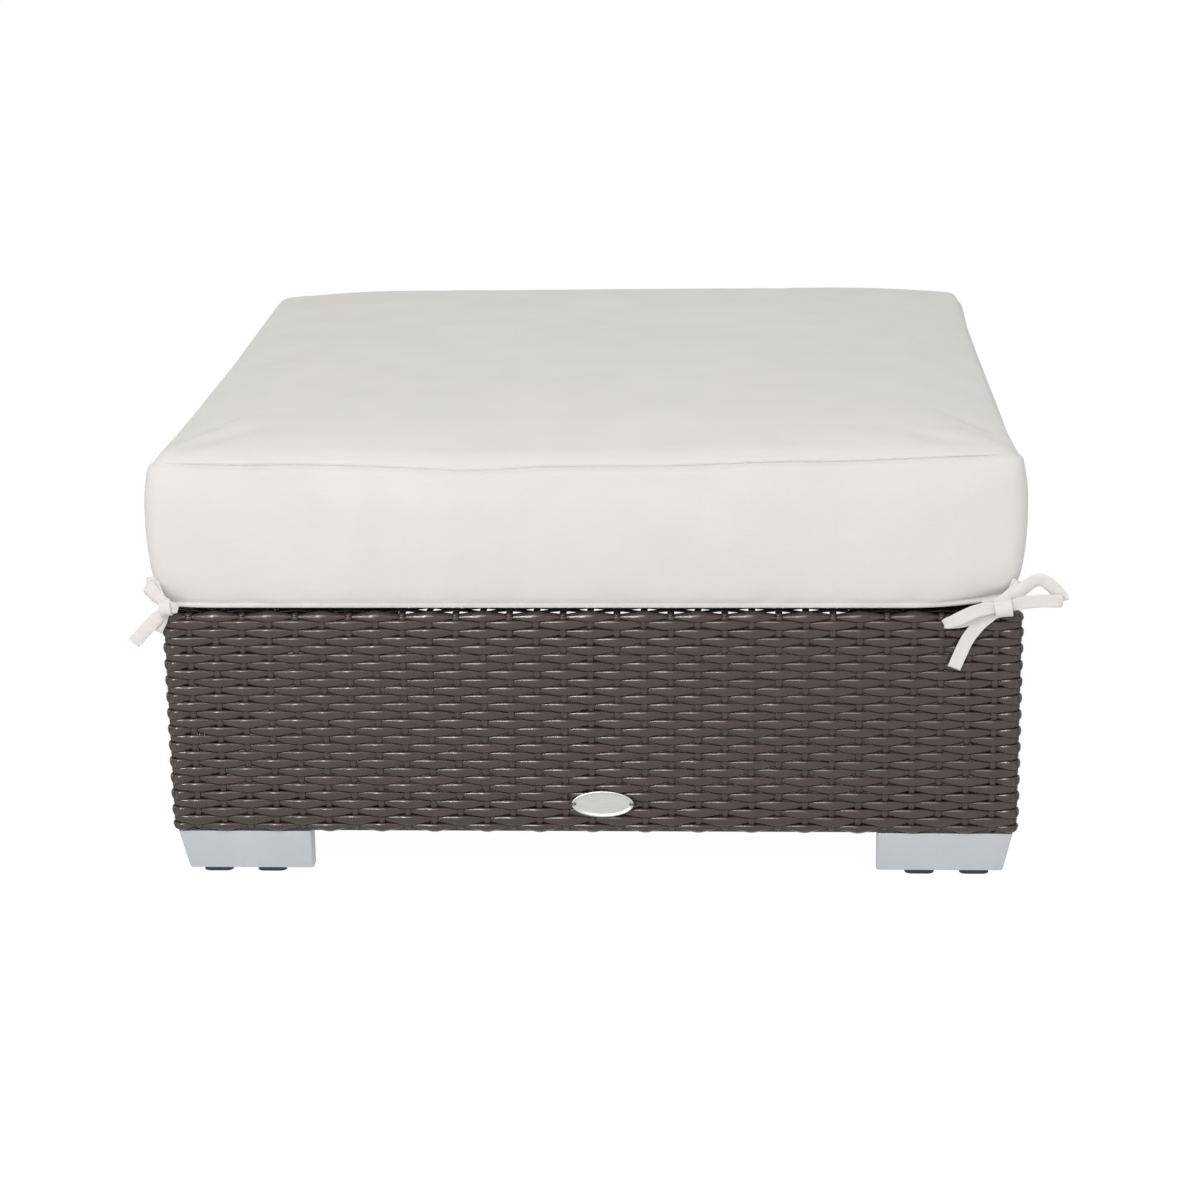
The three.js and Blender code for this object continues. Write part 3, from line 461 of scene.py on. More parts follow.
def finished_copy(name, node, material, edge_round, segments=2):
    """A copy of a CAD node's mesh, merged and with its edges rounded, under a material."""
    copy = bmesh.new()
    copy.from_mesh(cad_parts[node].data)
    bmesh.ops.remove_doubles(copy, verts=copy.verts, dist=MERGE_DISTANCE)
    bmesh.ops.dissolve_limit(copy, angle_limit=LEVEL_ANGLE, verts=copy.verts, edges=copy.edges)
    mesh = bpy.data.meshes.new(name)
    copy.to_mesh(mesh)
    copy.free()
    mesh.materials.clear()
    mesh.materials.append(material)
    piece = link(bpy.data.objects.new(name, mesh))
    if edge_round:
        bevel = piece.modifiers.new("Edge", "BEVEL")
        bevel.width = edge_round
        bevel.segments = segments
        bevel.limit_method = "ANGLE"
        bevel.angle_limit = ROUNDED_ANGLE
        bevel.harden_normals = False
    graph = bpy.context.evaluated_depsgraph_get()
    rounded = bpy.data.meshes.new_from_object(piece.evaluated_get(graph), depsgraph=graph)
    piece.modifiers.clear()
    piece.data = rounded
    rounded.polygons.foreach_set("use_smooth", [True] * len(rounded.polygons))
    rounded.set_sharp_from_angle(angle=SHARP_ANGLE)
    return piece


def settle(piece, body, *nodes, slot=None):
    """Makes a piece ride on its body and stand for its CAD nodes, which it hides. Its slot is not used."""
    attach(piece, body)
    if nodes:
        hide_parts(*nodes)


# Woven panels
def number_inputs(tree, names):
    """Named float inputs on a tree, as a dictionary of their sockets."""
    for name in names:
        tree.interface.new_socket(name, in_out="INPUT", socket_type="NodeSocketFloat")
    group = add_node(tree, "NodeGroupInput")
    return {name: group.outputs[name] for name in names}


def strand_rows(tree, given, place, number, first, path, bend):
    """One straight strand copied for each row, with its place on the flat panel stored as "flat"."""
    out_share, up_share, along = place
    pitches = add_node(tree, "ShaderNodeMath", [path, given["Stake Pitch"]], operation="DIVIDE")
    steps = add_node(tree, "ShaderNodeMath", [pitches, given["Samples"]], operation="MULTIPLY")
    strand = add_node(tree, "GeometryNodeMeshCylinder", {
        "Vertices": given["Strand Sides"], "Side Segments": steps, "Radius": 1.0, "Depth": path,
    })
    one = add_node(tree, "GeometryNodeGeometryToInstance", [strand.outputs["Mesh"]])
    rows = add_node(tree, "GeometryNodeDuplicateElements", {
        "Geometry": one, "Amount": given["Rows"],
    }, domain="INSTANCE")
    numbered = add_node(tree, "GeometryNodeStoreNamedAttribute", {
        "Geometry": rows.outputs["Geometry"], "Name": "number", "Value": rows.outputs["Duplicate Index"],
    }, data_type="FLOAT", domain="INSTANCE")
    strands = add_node(tree, "GeometryNodeRealizeInstances", [numbered])

    # Alternate rows pass in front of alternate stakes
    pitch_count = add_node(tree, "ShaderNodeMath", [along, given["Stake Pitch"]], operation="DIVIDE")
    step_count = add_node(tree, "ShaderNodeMath", [pitch_count, number], operation="ADD")
    turn = add_node(tree, "ShaderNodeMath", [step_count, math.pi], operation="MULTIPLY")
    even_wave = add_node(tree, "ShaderNodeMath", [turn], operation="COSINE")
    # A strand runs nearly straight from one stake to the next, and bends close about them
    crest_share, even_share = 0.45, 0.55
    wave_square = add_node(tree, "ShaderNodeMath", [even_wave, even_wave], operation="MULTIPLY")
    straighten = add_node(
        tree, "ShaderNodeMath", [wave_square, crest_share, even_share], operation="MULTIPLY_ADD",
    )
    wave = add_node(tree, "ShaderNodeMath", [even_wave, straighten], operation="MULTIPLY")
    # At the corner post every second row stands proud, from 0.6 of a stake's pitch before it
    proud_share, end_stretch = 0.45, -0.6
    row_turn = add_node(tree, "ShaderNodeMath", [number, math.pi], operation="MULTIPLY")
    row_sign = add_node(tree, "ShaderNodeMath", [row_turn], operation="COSINE")
    end_wave = add_node(
        tree, "ShaderNodeMath", [row_sign, proud_share, given["End Rise"]], operation="MULTIPLY_ADD",
    )
    reach = add_node(tree, "ShaderNodeMath", [along], operation="ABSOLUTE")
    end_start = add_node(
        tree, "ShaderNodeMath", [given["Stake Pitch"], end_stretch, bend], operation="MULTIPLY_ADD",
    )
    at_end = add_node(tree, "ShaderNodeMapRange", {
        "Value": reach, "From Min": end_start, "From Max": bend,
    }, interpolation_type="SMOOTHSTEP")
    swing = add_node(tree, "ShaderNodeMix", {"Factor": at_end, "A": wave, "B": end_wave}, data_type="FLOAT")
    # The half-round section: its back is flat, and its front full
    flat_back = add_node(tree, "ShaderNodeMath", [out_share, -0.5], operation="MAXIMUM")
    half_depth = add_node(tree, "ShaderNodeMath", [given["Strand Depth"], 0.5], operation="MULTIPLY")
    skin = add_node(tree, "ShaderNodeMath", [flat_back, half_depth], operation="MULTIPLY")
    # Hand weaving wanders over about 55 mm of each row, and not at all at the ends, which meet the next side
    wander_scale, row_step = 18.0, 3.7
    wander_along = add_node(tree, "ShaderNodeMath", [along, wander_scale], operation="MULTIPLY")
    wander_row = add_node(
        tree, "ShaderNodeMath", [number, row_step, given["Seed"]], operation="MULTIPLY_ADD",
    )
    wander_place = add_node(tree, "ShaderNodeCombineXYZ", [wander_along, wander_row, given["Seed"]])
    noise = add_node(tree, "ShaderNodeTexNoise", {"Vector": wander_place, "Scale": 1.0, "Detail": 2.0})
    shifts = add_node(tree, "ShaderNodeSeparateXYZ", [noise.outputs["Color"]])
    hold = add_node(tree, "ShaderNodeMath", [1.0, at_end], operation="SUBTRACT")
    sway = add_node(tree, "ShaderNodeMath", [hold, given["Unevenness"]], operation="MULTIPLY")
    # The noise itself swings by about a third each way
    noise_gain = 3.0
    sway = add_node(tree, "ShaderNodeMath", [sway, noise_gain], operation="MULTIPLY")
    shift_up = add_node(tree, "ShaderNodeMath", [shifts.outputs[0], -0.5], operation="ADD")
    shift_up = add_node(tree, "ShaderNodeMath", [shift_up, sway], operation="MULTIPLY")
    shift_out = add_node(tree, "ShaderNodeMath", [shifts.outputs[1], -0.5], operation="ADD")
    shift_out = add_node(tree, "ShaderNodeMath", [shift_out, sway], operation="MULTIPLY")
    out = add_node(tree, "ShaderNodeMath", [swing, given["Relief"], skin], operation="MULTIPLY_ADD")
    out = add_node(tree, "ShaderNodeMath", [shift_out, 0.5, out], operation="MULTIPLY_ADD")
    row = add_node(tree, "ShaderNodeMath", [number, first], operation="ADD")
    up = add_node(tree, "ShaderNodeMath", [row, given["Row Pitch"], shift_up], operation="MULTIPLY_ADD")
    # A strand lies wide where it passes in front, and the stake and its neighbours press it narrow behind
    spread = add_node(tree, "ShaderNodeMapRange", {
        "Value": swing, "From Min": -1.0, "From Max": 0.6, "To Min": 0.36, "To Max": 0.545,
    })
    half_width = add_node(tree, "ShaderNodeMath", [given["Strand Width"], spread], operation="MULTIPLY")
    up = add_node(tree, "ShaderNodeMath", [up_share, half_width, up], operation="MULTIPLY_ADD")
    panel_place = add_node(tree, "ShaderNodeCombineXYZ", [along, up, out])
    strands = add_node(tree, "GeometryNodeStoreNamedAttribute", {
        "Geometry": strands, "Name": "flat", "Value": panel_place,
    }, data_type="FLOAT_VECTOR", domain="POINT")
    look = add_node(tree, "ShaderNodeCombineXYZ", [along, up_share, number])
    return add_node(tree, "GeometryNodeStoreNamedAttribute", {
        "Geometry": strands, "Name": "strand", "Value": look,
    }, data_type="FLOAT_VECTOR", domain="POINT")


def stake_line(tree, given, place, number, first):
    """One straight stake copied across the panel, with its place on the flat panel stored as "flat"."""
    out_share, up_share, along = place
    stake_steps = add_node(
        tree, "ShaderNodeMath", [given["Rows"], given["Stake Samples"]], operation="MULTIPLY",
    )
    stake = add_node(tree, "GeometryNodeMeshCylinder", {
        "Vertices": given["Stake Sides"], "Side Segments": stake_steps, "Radius": 1.0,
        "Depth": given["Stake Length"],
    })
    one = add_node(tree, "GeometryNodeGeometryToInstance", [stake.outputs["Mesh"]])
    line = add_node(tree, "GeometryNodeDuplicateElements", {
        "Geometry": one, "Amount": given["Stakes"],
    }, domain="INSTANCE")
    last_stake = add_node(tree, "ShaderNodeMath", [given["Stakes"], -1.0], operation="ADD")
    stake_middle = add_node(tree, "ShaderNodeMath", [last_stake, -0.5], operation="MULTIPLY")
    stake_number = add_node(
        tree, "ShaderNodeMath", [line.outputs["Duplicate Index"], stake_middle], operation="ADD",
    )
    numbered = add_node(tree, "GeometryNodeStoreNamedAttribute", {
        "Geometry": line.outputs["Geometry"], "Name": "number", "Value": stake_number,
    }, data_type="FLOAT", domain="INSTANCE")
    stakes = add_node(tree, "GeometryNodeRealizeInstances", [numbered])
    stake_up = add_node(tree, "ShaderNodeMath", [along, given["Stake Centre"]], operation="ADD")
    half_stake = add_node(tree, "ShaderNodeMath", [given["Stake Width"], 0.5], operation="MULTIPLY")
    stake_across = add_node(tree, "ShaderNodeMath", [up_share, half_stake], operation="MULTIPLY")
    stake_along = add_node(
        tree, "ShaderNodeMath", [number, given["Stake Pitch"], stake_across], operation="MULTIPLY_ADD",
    )
    row_place = add_node(tree, "ShaderNodeMath", [stake_up, given["Row Pitch"]], operation="DIVIDE")
    row_place = add_node(tree, "ShaderNodeMath", [row_place, first], operation="SUBTRACT")
    stake_turn = add_node(tree, "ShaderNodeMath", [row_place, number], operation="ADD")
    stake_turn = add_node(tree, "ShaderNodeMath", [stake_turn, math.pi], operation="MULTIPLY")
    stake_wave = add_node(tree, "ShaderNodeMath", [stake_turn], operation="COSINE")
    stake_bow = add_node(tree, "ShaderNodeMath", [stake_wave, given["Stake Sway"]], operation="MULTIPLY")
    half_stake_depth = add_node(tree, "ShaderNodeMath", [given["Stake Depth"], 0.5], operation="MULTIPLY")
    stake_skin = add_node(tree, "ShaderNodeMath", [out_share, half_stake_depth], operation="MULTIPLY")
    stake_out = add_node(tree, "ShaderNodeMath", [stake_skin, stake_bow], operation="SUBTRACT")
    panel_place = add_node(tree, "ShaderNodeCombineXYZ", [stake_along, stake_up, stake_out])
    stakes = add_node(tree, "GeometryNodeStoreNamedAttribute", {
        "Geometry": stakes, "Name": "flat", "Value": panel_place,
    }, data_type="FLOAT_VECTOR", domain="POINT")
    # Stakes are numbered past the rows, so that their shades differ from the rows' own
    past_rows = 100.5
    stake_shade = add_node(tree, "ShaderNodeMath", [number, past_rows], operation="ADD")
    look = add_node(tree, "ShaderNodeCombineXYZ", [stake_up, up_share, stake_shade])
    return add_node(tree, "GeometryNodeStoreNamedAttribute", {
        "Geometry": stakes, "Name": "strand", "Value": look,
    }, data_type="FLOAT_VECTOR", domain="POINT")


def bent_panel(tree, given, panel):
    """The panel bent out of its plane, first round its ends, then over its upper and lower edges."""
    flat = add_node(tree, "GeometryNodeInputNamedAttribute", {"Name": "flat"}, data_type="FLOAT_VECTOR")
    flat_parts = add_node(tree, "ShaderNodeSeparateXYZ", [flat])
    bent_out, placed = flat_parts.outputs[2], []
    for value, flat_half, radius in (
        (flat_parts.outputs[0], given["Flat Half Width"], given["End Radius"]),
        (flat_parts.outputs[1], given["Flat Half Height"], given["Edge Radius"]),
    ):
        size = add_node(tree, "ShaderNodeMath", [value], operation="ABSOLUTE")
        sign = add_node(tree, "ShaderNodeMath", [value], operation="SIGN")
        straight = add_node(tree, "ShaderNodeMath", [size, flat_half], operation="MINIMUM")
        past = add_node(tree, "ShaderNodeMath", [size, straight], operation="SUBTRACT")
        angle = add_node(tree, "ShaderNodeMath", [past, radius], operation="DIVIDE")
        arm = add_node(tree, "ShaderNodeMath", [radius, bent_out], operation="ADD")
        sine = add_node(tree, "ShaderNodeMath", [angle], operation="SINE")
        cosine = add_node(tree, "ShaderNodeMath", [angle], operation="COSINE")
        sideways = add_node(tree, "ShaderNodeMath", [arm, sine, straight], operation="MULTIPLY_ADD")
        placed.append(add_node(tree, "ShaderNodeMath", [sideways, sign], operation="MULTIPLY"))
        outward = add_node(tree, "ShaderNodeMath", [arm, cosine], operation="MULTIPLY")
        bent_out = add_node(tree, "ShaderNodeMath", [outward, radius], operation="SUBTRACT")
    distance = add_node(tree, "ShaderNodeMath", [bent_out, given["Face Distance"]], operation="ADD")
    depth = add_node(tree, "ShaderNodeMath", [distance, -1.0], operation="MULTIPLY")
    height = add_node(tree, "ShaderNodeMath", [placed[1], given["Middle Height"]], operation="ADD")
    final = add_node(tree, "ShaderNodeCombineXYZ", [placed[0], depth, height])
    return add_node(tree, "GeometryNodeSetPosition", {"Geometry": panel, "Position": final})


def woven_panel_tree():
    """Strands along X that pass in front of and behind stakes. Both bend round the panel's ends and edges.

    Each vertex carries its place on the flat panel: along the strands, up the stakes, and out from the
    middle. One Set Position then bends the whole panel into place."""
    tree = bpy.data.node_groups.new("Woven panel", "GeometryNodeTree")
    tree.is_modifier = True
    given = number_inputs(tree, [
        "Flat Half Width", "End Radius", "End Angle",
        "Flat Half Height", "Edge Radius", "Middle Height", "Face Distance",
        "Rows", "Row Pitch", "Strand Width", "Strand Depth", "Strand Sides", "Samples",
        "Stakes", "Stake Pitch", "Stake Width", "Stake Depth",
        "Stake Length", "Stake Centre", "Stake Sides", "Stake Samples",
        "Relief", "End Rise", "Stake Sway", "Unevenness", "Seed",
    ])
    tree.interface.new_socket("Lean", in_out="INPUT", socket_type="NodeSocketRotation")
    tree.interface.new_socket("Strand Material", in_out="INPUT", socket_type="NodeSocketMaterial")
    more = add_node(tree, "NodeGroupInput")
    tree.interface.new_socket("Panel", in_out="OUTPUT", socket_type="NodeSocketGeometry")

    # Half the path's length: the flat stretch and the bend at one end
    bend = add_node(
        tree, "ShaderNodeMath", [given["End Radius"], given["End Angle"], given["Flat Half Width"]],
        operation="MULTIPLY_ADD",
    )
    path = add_node(tree, "ShaderNodeMath", [bend, 2.0], operation="MULTIPLY")
    number = add_node(tree, "GeometryNodeInputNamedAttribute", {"Name": "number"}, data_type="FLOAT")
    place = add_node(tree, "ShaderNodeSeparateXYZ", [add_node(tree, "GeometryNodeInputPosition")])
    # Rows count from the lowest, around the panel's middle
    last = add_node(tree, "ShaderNodeMath", [given["Rows"], -1.0], operation="ADD")
    first = add_node(tree, "ShaderNodeMath", [last, -0.5], operation="MULTIPLY")
    strands = strand_rows(tree, given, place.outputs, number, first, path, bend)
    stakes = stake_line(tree, given, place.outputs, number, first)
    panel = add_node(tree, "GeometryNodeJoinGeometry", {"Geometry": [strands, stakes]})
    moved = bent_panel(tree, given, panel)
    smooth = add_node(tree, "GeometryNodeSetShadeSmooth", {"Geometry": moved, "Shade Smooth": True})
    leaned = add_node(tree, "GeometryNodeTransform", {"Geometry": smooth, "Rotation": more.outputs["Lean"]})
    real = add_node(tree, "GeometryNodeRealizeInstances", [leaned])
    done = add_node(
        tree, "GeometryNodeSetMaterial", {"Geometry": real, "Material": more.outputs["Strand Material"]},
    )
    add_node(tree, "NodeGroupOutput", {"Panel": done})
    return tree


def stake_count(half_width, pitch):
    """An odd number of stakes: one on the panel's middle and the last ones clear of its corners."""
    corner_clearance = 16 * MM
    return 2 * int((half_width - corner_clearance) / pitch) + 1


class FOOTSTOOL_OT_woven_sides(bpy.types.Operator):
    """Weaves the four sides of the base from resin strand"""
    bl_idname = "footstool.woven_sides"
    bl_label = "Woven Sides"

    def execute(self, context):
        weave = context.scene.footstool_weave
        material = resin_wicker(weave.strand_colour)
        tree = bpy.data.node_groups.get("Woven panel") or woven_panel_tree()
        half_base = -deck_low.y
        low, high = skirt_low.z, deck_high.z
        mid_depth = weave.relief + weave.strand_depth / 2
        corner_radius, edge_radius = 10 * MM, 5 * MM
        # The outermost rows turn over the edges, so the rows stand wider than their share of the height
        turned_over = 2.8 * MM
        pitch = (high - low + turned_over) / weave.row_count
        edge_start, lowered, proud = 5.8 * MM, 0.9 * MM, 0.6 * MM
        stake_over, stake_raised, stake_sway = 4 * MM, 1 * MM, 0.45 * MM
        stakes = stake_count(half_base, weave.stake_pitch)
        for index, side in enumerate(SIDES):
            panel = grown(f"woven_side_{side}", tree, {
                "Flat Half Width": half_base - corner_radius, "End Radius": corner_radius - mid_depth,
                "End Angle": math.pi / 4,
                "Flat Half Height": (high - low) / 2 - edge_start, "Edge Radius": edge_radius,
                "Middle Height": (high + low) / 2 - lowered, "Face Distance": half_base - mid_depth + proud,
                "Rows": float(weave.row_count), "Row Pitch": pitch, "Strand Width": weave.strand_width,
                "Strand Depth": weave.strand_depth, "Strand Sides": 12.0, "Samples": 6.0,
                "Stakes": float(stakes), "Stake Pitch": weave.stake_pitch, "Stake Width": weave.stake_width,
                "Stake Depth": weave.stake_depth, "Stake Length": high - low + stake_over,
                "Stake Centre": stake_raised, "Stake Sides": 6.0, "Stake Samples": 4.0,
                "Relief": weave.relief, "End Rise": 0.75, "Stake Sway": stake_sway,
                "Unevenness": weave.unevenness, "Seed": 3.0 + 7.0 * index,
                "Lean": (0.0, 0.0, index * math.pi / 2), "Strand Material": material,
            })
            settle(panel, "base", f"woven_{side}", slot="resin_wicker")
        return {"FINISHED"}


class FOOTSTOOL_OT_woven_deck(bpy.types.Operator):
    """Weaves the open deck that carries the cushion"""
    bl_idname = "footstool.woven_deck"
    bl_label = "Woven Deck"

    def execute(self, context):
        weave = context.scene.footstool_weave
        tree = bpy.data.node_groups.get("Woven panel") or woven_panel_tree()
        half_base = -deck_low.y
        # The deck's strands are flatter and wider than those of the sides, and its edge lies inside theirs
        inset, width, depth, relief = 4 * MM, 9.3 * MM, 1.5 * MM, 1.4 * MM
        bend_radius, sunk, edge_over = 3 * MM, 0.2 * MM, 1 * MM
        calmness = 0.7
        pitch = 2 * (half_base - inset - width / 2) / (weave.deck_row_count - 1)
        stakes = stake_count(half_base, weave.stake_pitch)
        deck = grown("woven_deck_strands", tree, {
            "Flat Half Width": half_base - inset, "End Radius": bend_radius, "End Angle": 0.0,
            "Flat Half Height": half_base - inset + edge_over, "Edge Radius": bend_radius,
            "Middle Height": 0.0, "Face Distance": deck_high.z - relief - depth / 2 - sunk,
            "Rows": float(weave.deck_row_count), "Row Pitch": pitch, "Strand Width": width,
            "Strand Depth": depth, "Strand Sides": 6.0, "Samples": 4.0,
            "Stakes": float(stakes), "Stake Pitch": weave.stake_pitch, "Stake Width": weave.stake_width,
            "Stake Depth": 1.6 * MM, "Stake Length": 2 * (half_base - inset + 2 * edge_over),
            "Stake Centre": 0.0, "Stake Sides": 4.0, "Stake Samples": 2.0,
            "Relief": relief, "End Rise": 0.0, "Stake Sway": 0.5 * MM,
            "Unevenness": weave.unevenness * calmness, "Seed": 41.0,
            "Lean": (-math.pi / 2, 0.0, 0.0), "Strand Material": bpy.data.materials["resin_wicker"],
        })
        settle(deck, "base", "woven_deck", slot="resin_wicker")
        return {"FINISHED"}


# Frame, feet and badge
class FOOTSTOOL_OT_frame_finish(bpy.types.Operator):
    """Gives the aluminium frame its powder coat"""
    bl_idname = "footstool.frame_finish"
    bl_label = "Frame Finish"

    def execute(self, context):
        coat = powder_coat(context.scene.footstool_metal.frame_colour)
        kinds = (
            "bottom_rail_", "top_rail_", "upright_", "rim_bar_", "deck_rail_", "corner_post_",
            "corner_plate_",
        )
        coated = [node for name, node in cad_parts.items() if name.startswith(kinds)]
        if not coated:
            raise RuntimeError("the frame's nodes are missing")
        for node in coated:
            for slot in node.material_slots:
                slot.material = coat
        return {"FINISHED"}


class FOOTSTOOL_OT_feet(bpy.types.Operator):
    """Adds the four feet with their glides and bolts"""
    bl_idname = "footstool.feet"
    bl_label = "Feet, Glides and Bolts"

    def execute(self, context):
        metal = context.scene.footstool_metal
        aluminium = satin_aluminium(metal.foot_colour)
        plastic = moulded_polyethylene()
        zinc = brushed_metal("zinc_plated_steel", "#8f9194", "#c6c8ca", 0.34, (900, 900, 120))
        for corner in CORNERS:
            foot = finished_copy(f"corner_foot_{corner}", f"foot_{corner}", aluminium, metal.edge_round, 3)
            settle(foot, "base", f"foot_{corner}", slot="foot_aluminium")
            bolt = finished_copy(f"hex_bolt_{corner}", f"foot_bolt_{corner}", zinc, 0.4 * MM, 2)
            settle(bolt, "base", f"foot_bolt_{corner}", slot="bolt_steel")
            for number in (1, 2):
                glide = finished_copy(
                    f"pad_glide_{corner}_{number}", f"glide_{corner}_{number}", plastic, 0.4 * MM, 2,
                )
                settle(glide, "base", f"glide_{corner}_{number}", slot="glide_plastic")
        return {"FINISHED"}


# From the back's edge over the rim to the middle of the sunk face: inset and height, in mm
BADGE_PROFILE = (
    (0.3, 0), (0, 0.25), (0, 0.9), (0.2, 1.3), (0.7, 1.58), (1.5, 1.58), (2.1, 1.3), (2.6, 0.75),
    (3.2, 0.55), (4.5, 0.55), (7, 0.62), (10, 0.72),
)


def badge_mesh(low, high, segments=72):
    """A bare oval plate with a raised rim, its back towards +Y."""
    turn = np.linspace(0, 2 * math.pi, segments, endpoint=False)
    middle = (low + high) / 2
    vertices = [
        (middle.x + ((high.x - low.x) / 2 - inset * MM) * math.cos(t), high.y - rise * MM,
         middle.z + ((high.z - low.z) / 2 - inset * MM) * math.sin(t))
        for inset, rise in BADGE_PROFILE for t in turn
    ]
    faces = []
    for r in range(len(BADGE_PROFILE) - 1):
        for k in range(segments):
            n = (k + 1) % segments
            faces.append(
                (r * segments + k, r * segments + n, (r + 1) * segments + n, (r + 1) * segments + k),
            )
    last = (len(BADGE_PROFILE) - 1) * segments
    faces.append(tuple(range(segments - 1, -1, -1)))
    faces.append(tuple(last + k for k in range(segments)))
    return vertices, faces


class FOOTSTOOL_OT_badge(bpy.types.Operator):
    """Adds the bare oval badge and its two wire staples"""
    bl_idname = "footstool.badge"
    bl_label = "Oval Badge"

    def execute(self, context):
        nickel = brushed_metal("satin_nickel", "#b9b9b5", "#d9d8d4", 0.34, (120, 900, 2400))
        wire = brushed_metal("dark_wire", "#3b3a38", "#6d6c69", 0.4, (900, 900, 900))
        badge = mesh_object("oval_badge", *badge_mesh(*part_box("badge")), nickel)
        face_outward(badge.data)
        settle(badge, "base", "badge", slot="badge_metal")
        for side in ("left", "right"):
            staple = finished_copy(f"wire_staple_{side}", f"badge_staple_{side}", wire, 0)
            settle(staple, "base", f"badge_staple_{side}", slot="staple_wire")
        return {"FINISHED"}


# Cushion
SEAM_HEIGHTS = (  # for each side: place along it in mm, and the seam's height above its own mean
    ((-402, 3.0), (-386, 2.4), (-325, 0), (-277, 1.2), (-192, -1), (-109, -5.6), (-33, -1.4), (85, -1.2),
     (178, 2.9), (240, 2.9), (341, 7.4), (402, 10)),
    ((-402, 8), (-340, 4), (-250, 1), (-160, -2.5), (-60, -1), (40, -3.5), (150, -0.5), (260, 2), (350, 2.6),
     (402, 5)),
    ((-402, 5), (-340, 9), (-240, 12.5), (-120, 14), (0, 14.5), (90, 14.5), (200, 13.5), (300, 11),
     (402, 4)),
    ((-402, 6), (-350, 5), (-220, 3.5), (-120, 1.5), (-20, -2.5), (100, -3.5), (210, -5), (300, -4.5),
     (350, -2.5), (402, 3.0)),
)
SEAM_REACH = 402  # where those tables end, in mm from the side's middle
SEAM_MEAN = 403.2 * MM
WELT_RISE = 4.0 * MM
SIDE_CORNER = 24 * MM
# The band from its lower edge to the seam: share of its height, and inset in mm
BAND_PROFILE = (
    (0.0, 10.6), (0.006, 7.9), (0.014, 6.4), (0.023, 6.2), (0.031, 7.6), (0.037, 9.0), (0.046, 7.8),
    (0.06, 6.5), (0.08, 5.6), (0.11, 4.9), (0.15, 4.2), (0.2, 3.5), (0.27, 2.6), (0.36, 1.6), (0.46, 0.7),
    (0.56, 0.2), (0.66, 0.0), (0.75, 0.1), (0.83, 0.4), (0.89, 0.9), (0.935, 1.6), (0.965, 2.6),
    (0.982, 4.0), (0.992, 6.2), (1.0, 9.4),
)
# The rolled edge of the top panel: height above the seam and inset, in mm
ROLL_PROFILE = (
    (1.0, 9.2), (3.0, 9.6), (4.5, 10.4), (6.0, 11.1), (8.0, 12.1), (10.0, 13.2), (12.0, 15.0), (13.8, 17.7),
    (15.4, 21.6), (16.8, 27), (18.2, 35.5), (19.4, 47), (20.4, 62),
)
# The underside, from its flat middle out to the lower edge: height above the deck and inset, in mm
UNDERSIDE_PROFILE = ((0.0, 60), (0.0, 44), (0.2, 33), (0.7, 26), (1.5, 20.5), (2.6, 16.4))


def side_places(half_along, half_across, radius, count):
    """Points round a rectangle with round corners, count for each side and evenly spaced from one corner's
    middle to the next, with each point's place along its side from -1 to 1."""
    rings, places = [], []
    for quarter in range(4):
        along, across = (half_along, half_across) if quarter % 2 == 0 else (half_across, half_along)
        flat = along - radius
        length = 2 * flat + radius * math.pi / 2
        place = (np.arange(count) / count - 0.5) * length
        angle = np.maximum(np.abs(place) - flat, 0) / radius
        x = np.sign(place) * (np.minimum(np.abs(place), flat) + radius * np.sin(angle))
        y = -(across - radius + radius * np.cos(angle))
        turn = quarter * math.pi / 2
        cosine, sine = math.cos(turn), math.sin(turn)
        rings.append(np.stack([x * cosine - y * sine, x * sine + y * cosine], 1))
        places.append(place / (length / 2))
    return np.concatenate(rings), np.concatenate(places)


def smooth_table(points, places, half):
    """Values of a table at these places, rounded off between its points."""
    past_end, samples, window, bell = 1.05, 421, 41, 2.2
    knots = np.linspace(-past_end, past_end, samples)
    raw = np.interp(knots * half, [p[0] for p in points], [p[1] for p in points])
    kernel = np.exp(-np.linspace(-bell, bell, window) ** 2)
    padded = np.pad(raw, window // 2, mode="edge")
    return np.interp(places, knots, np.convolve(padded, kernel / kernel.sum(), mode="valid"))


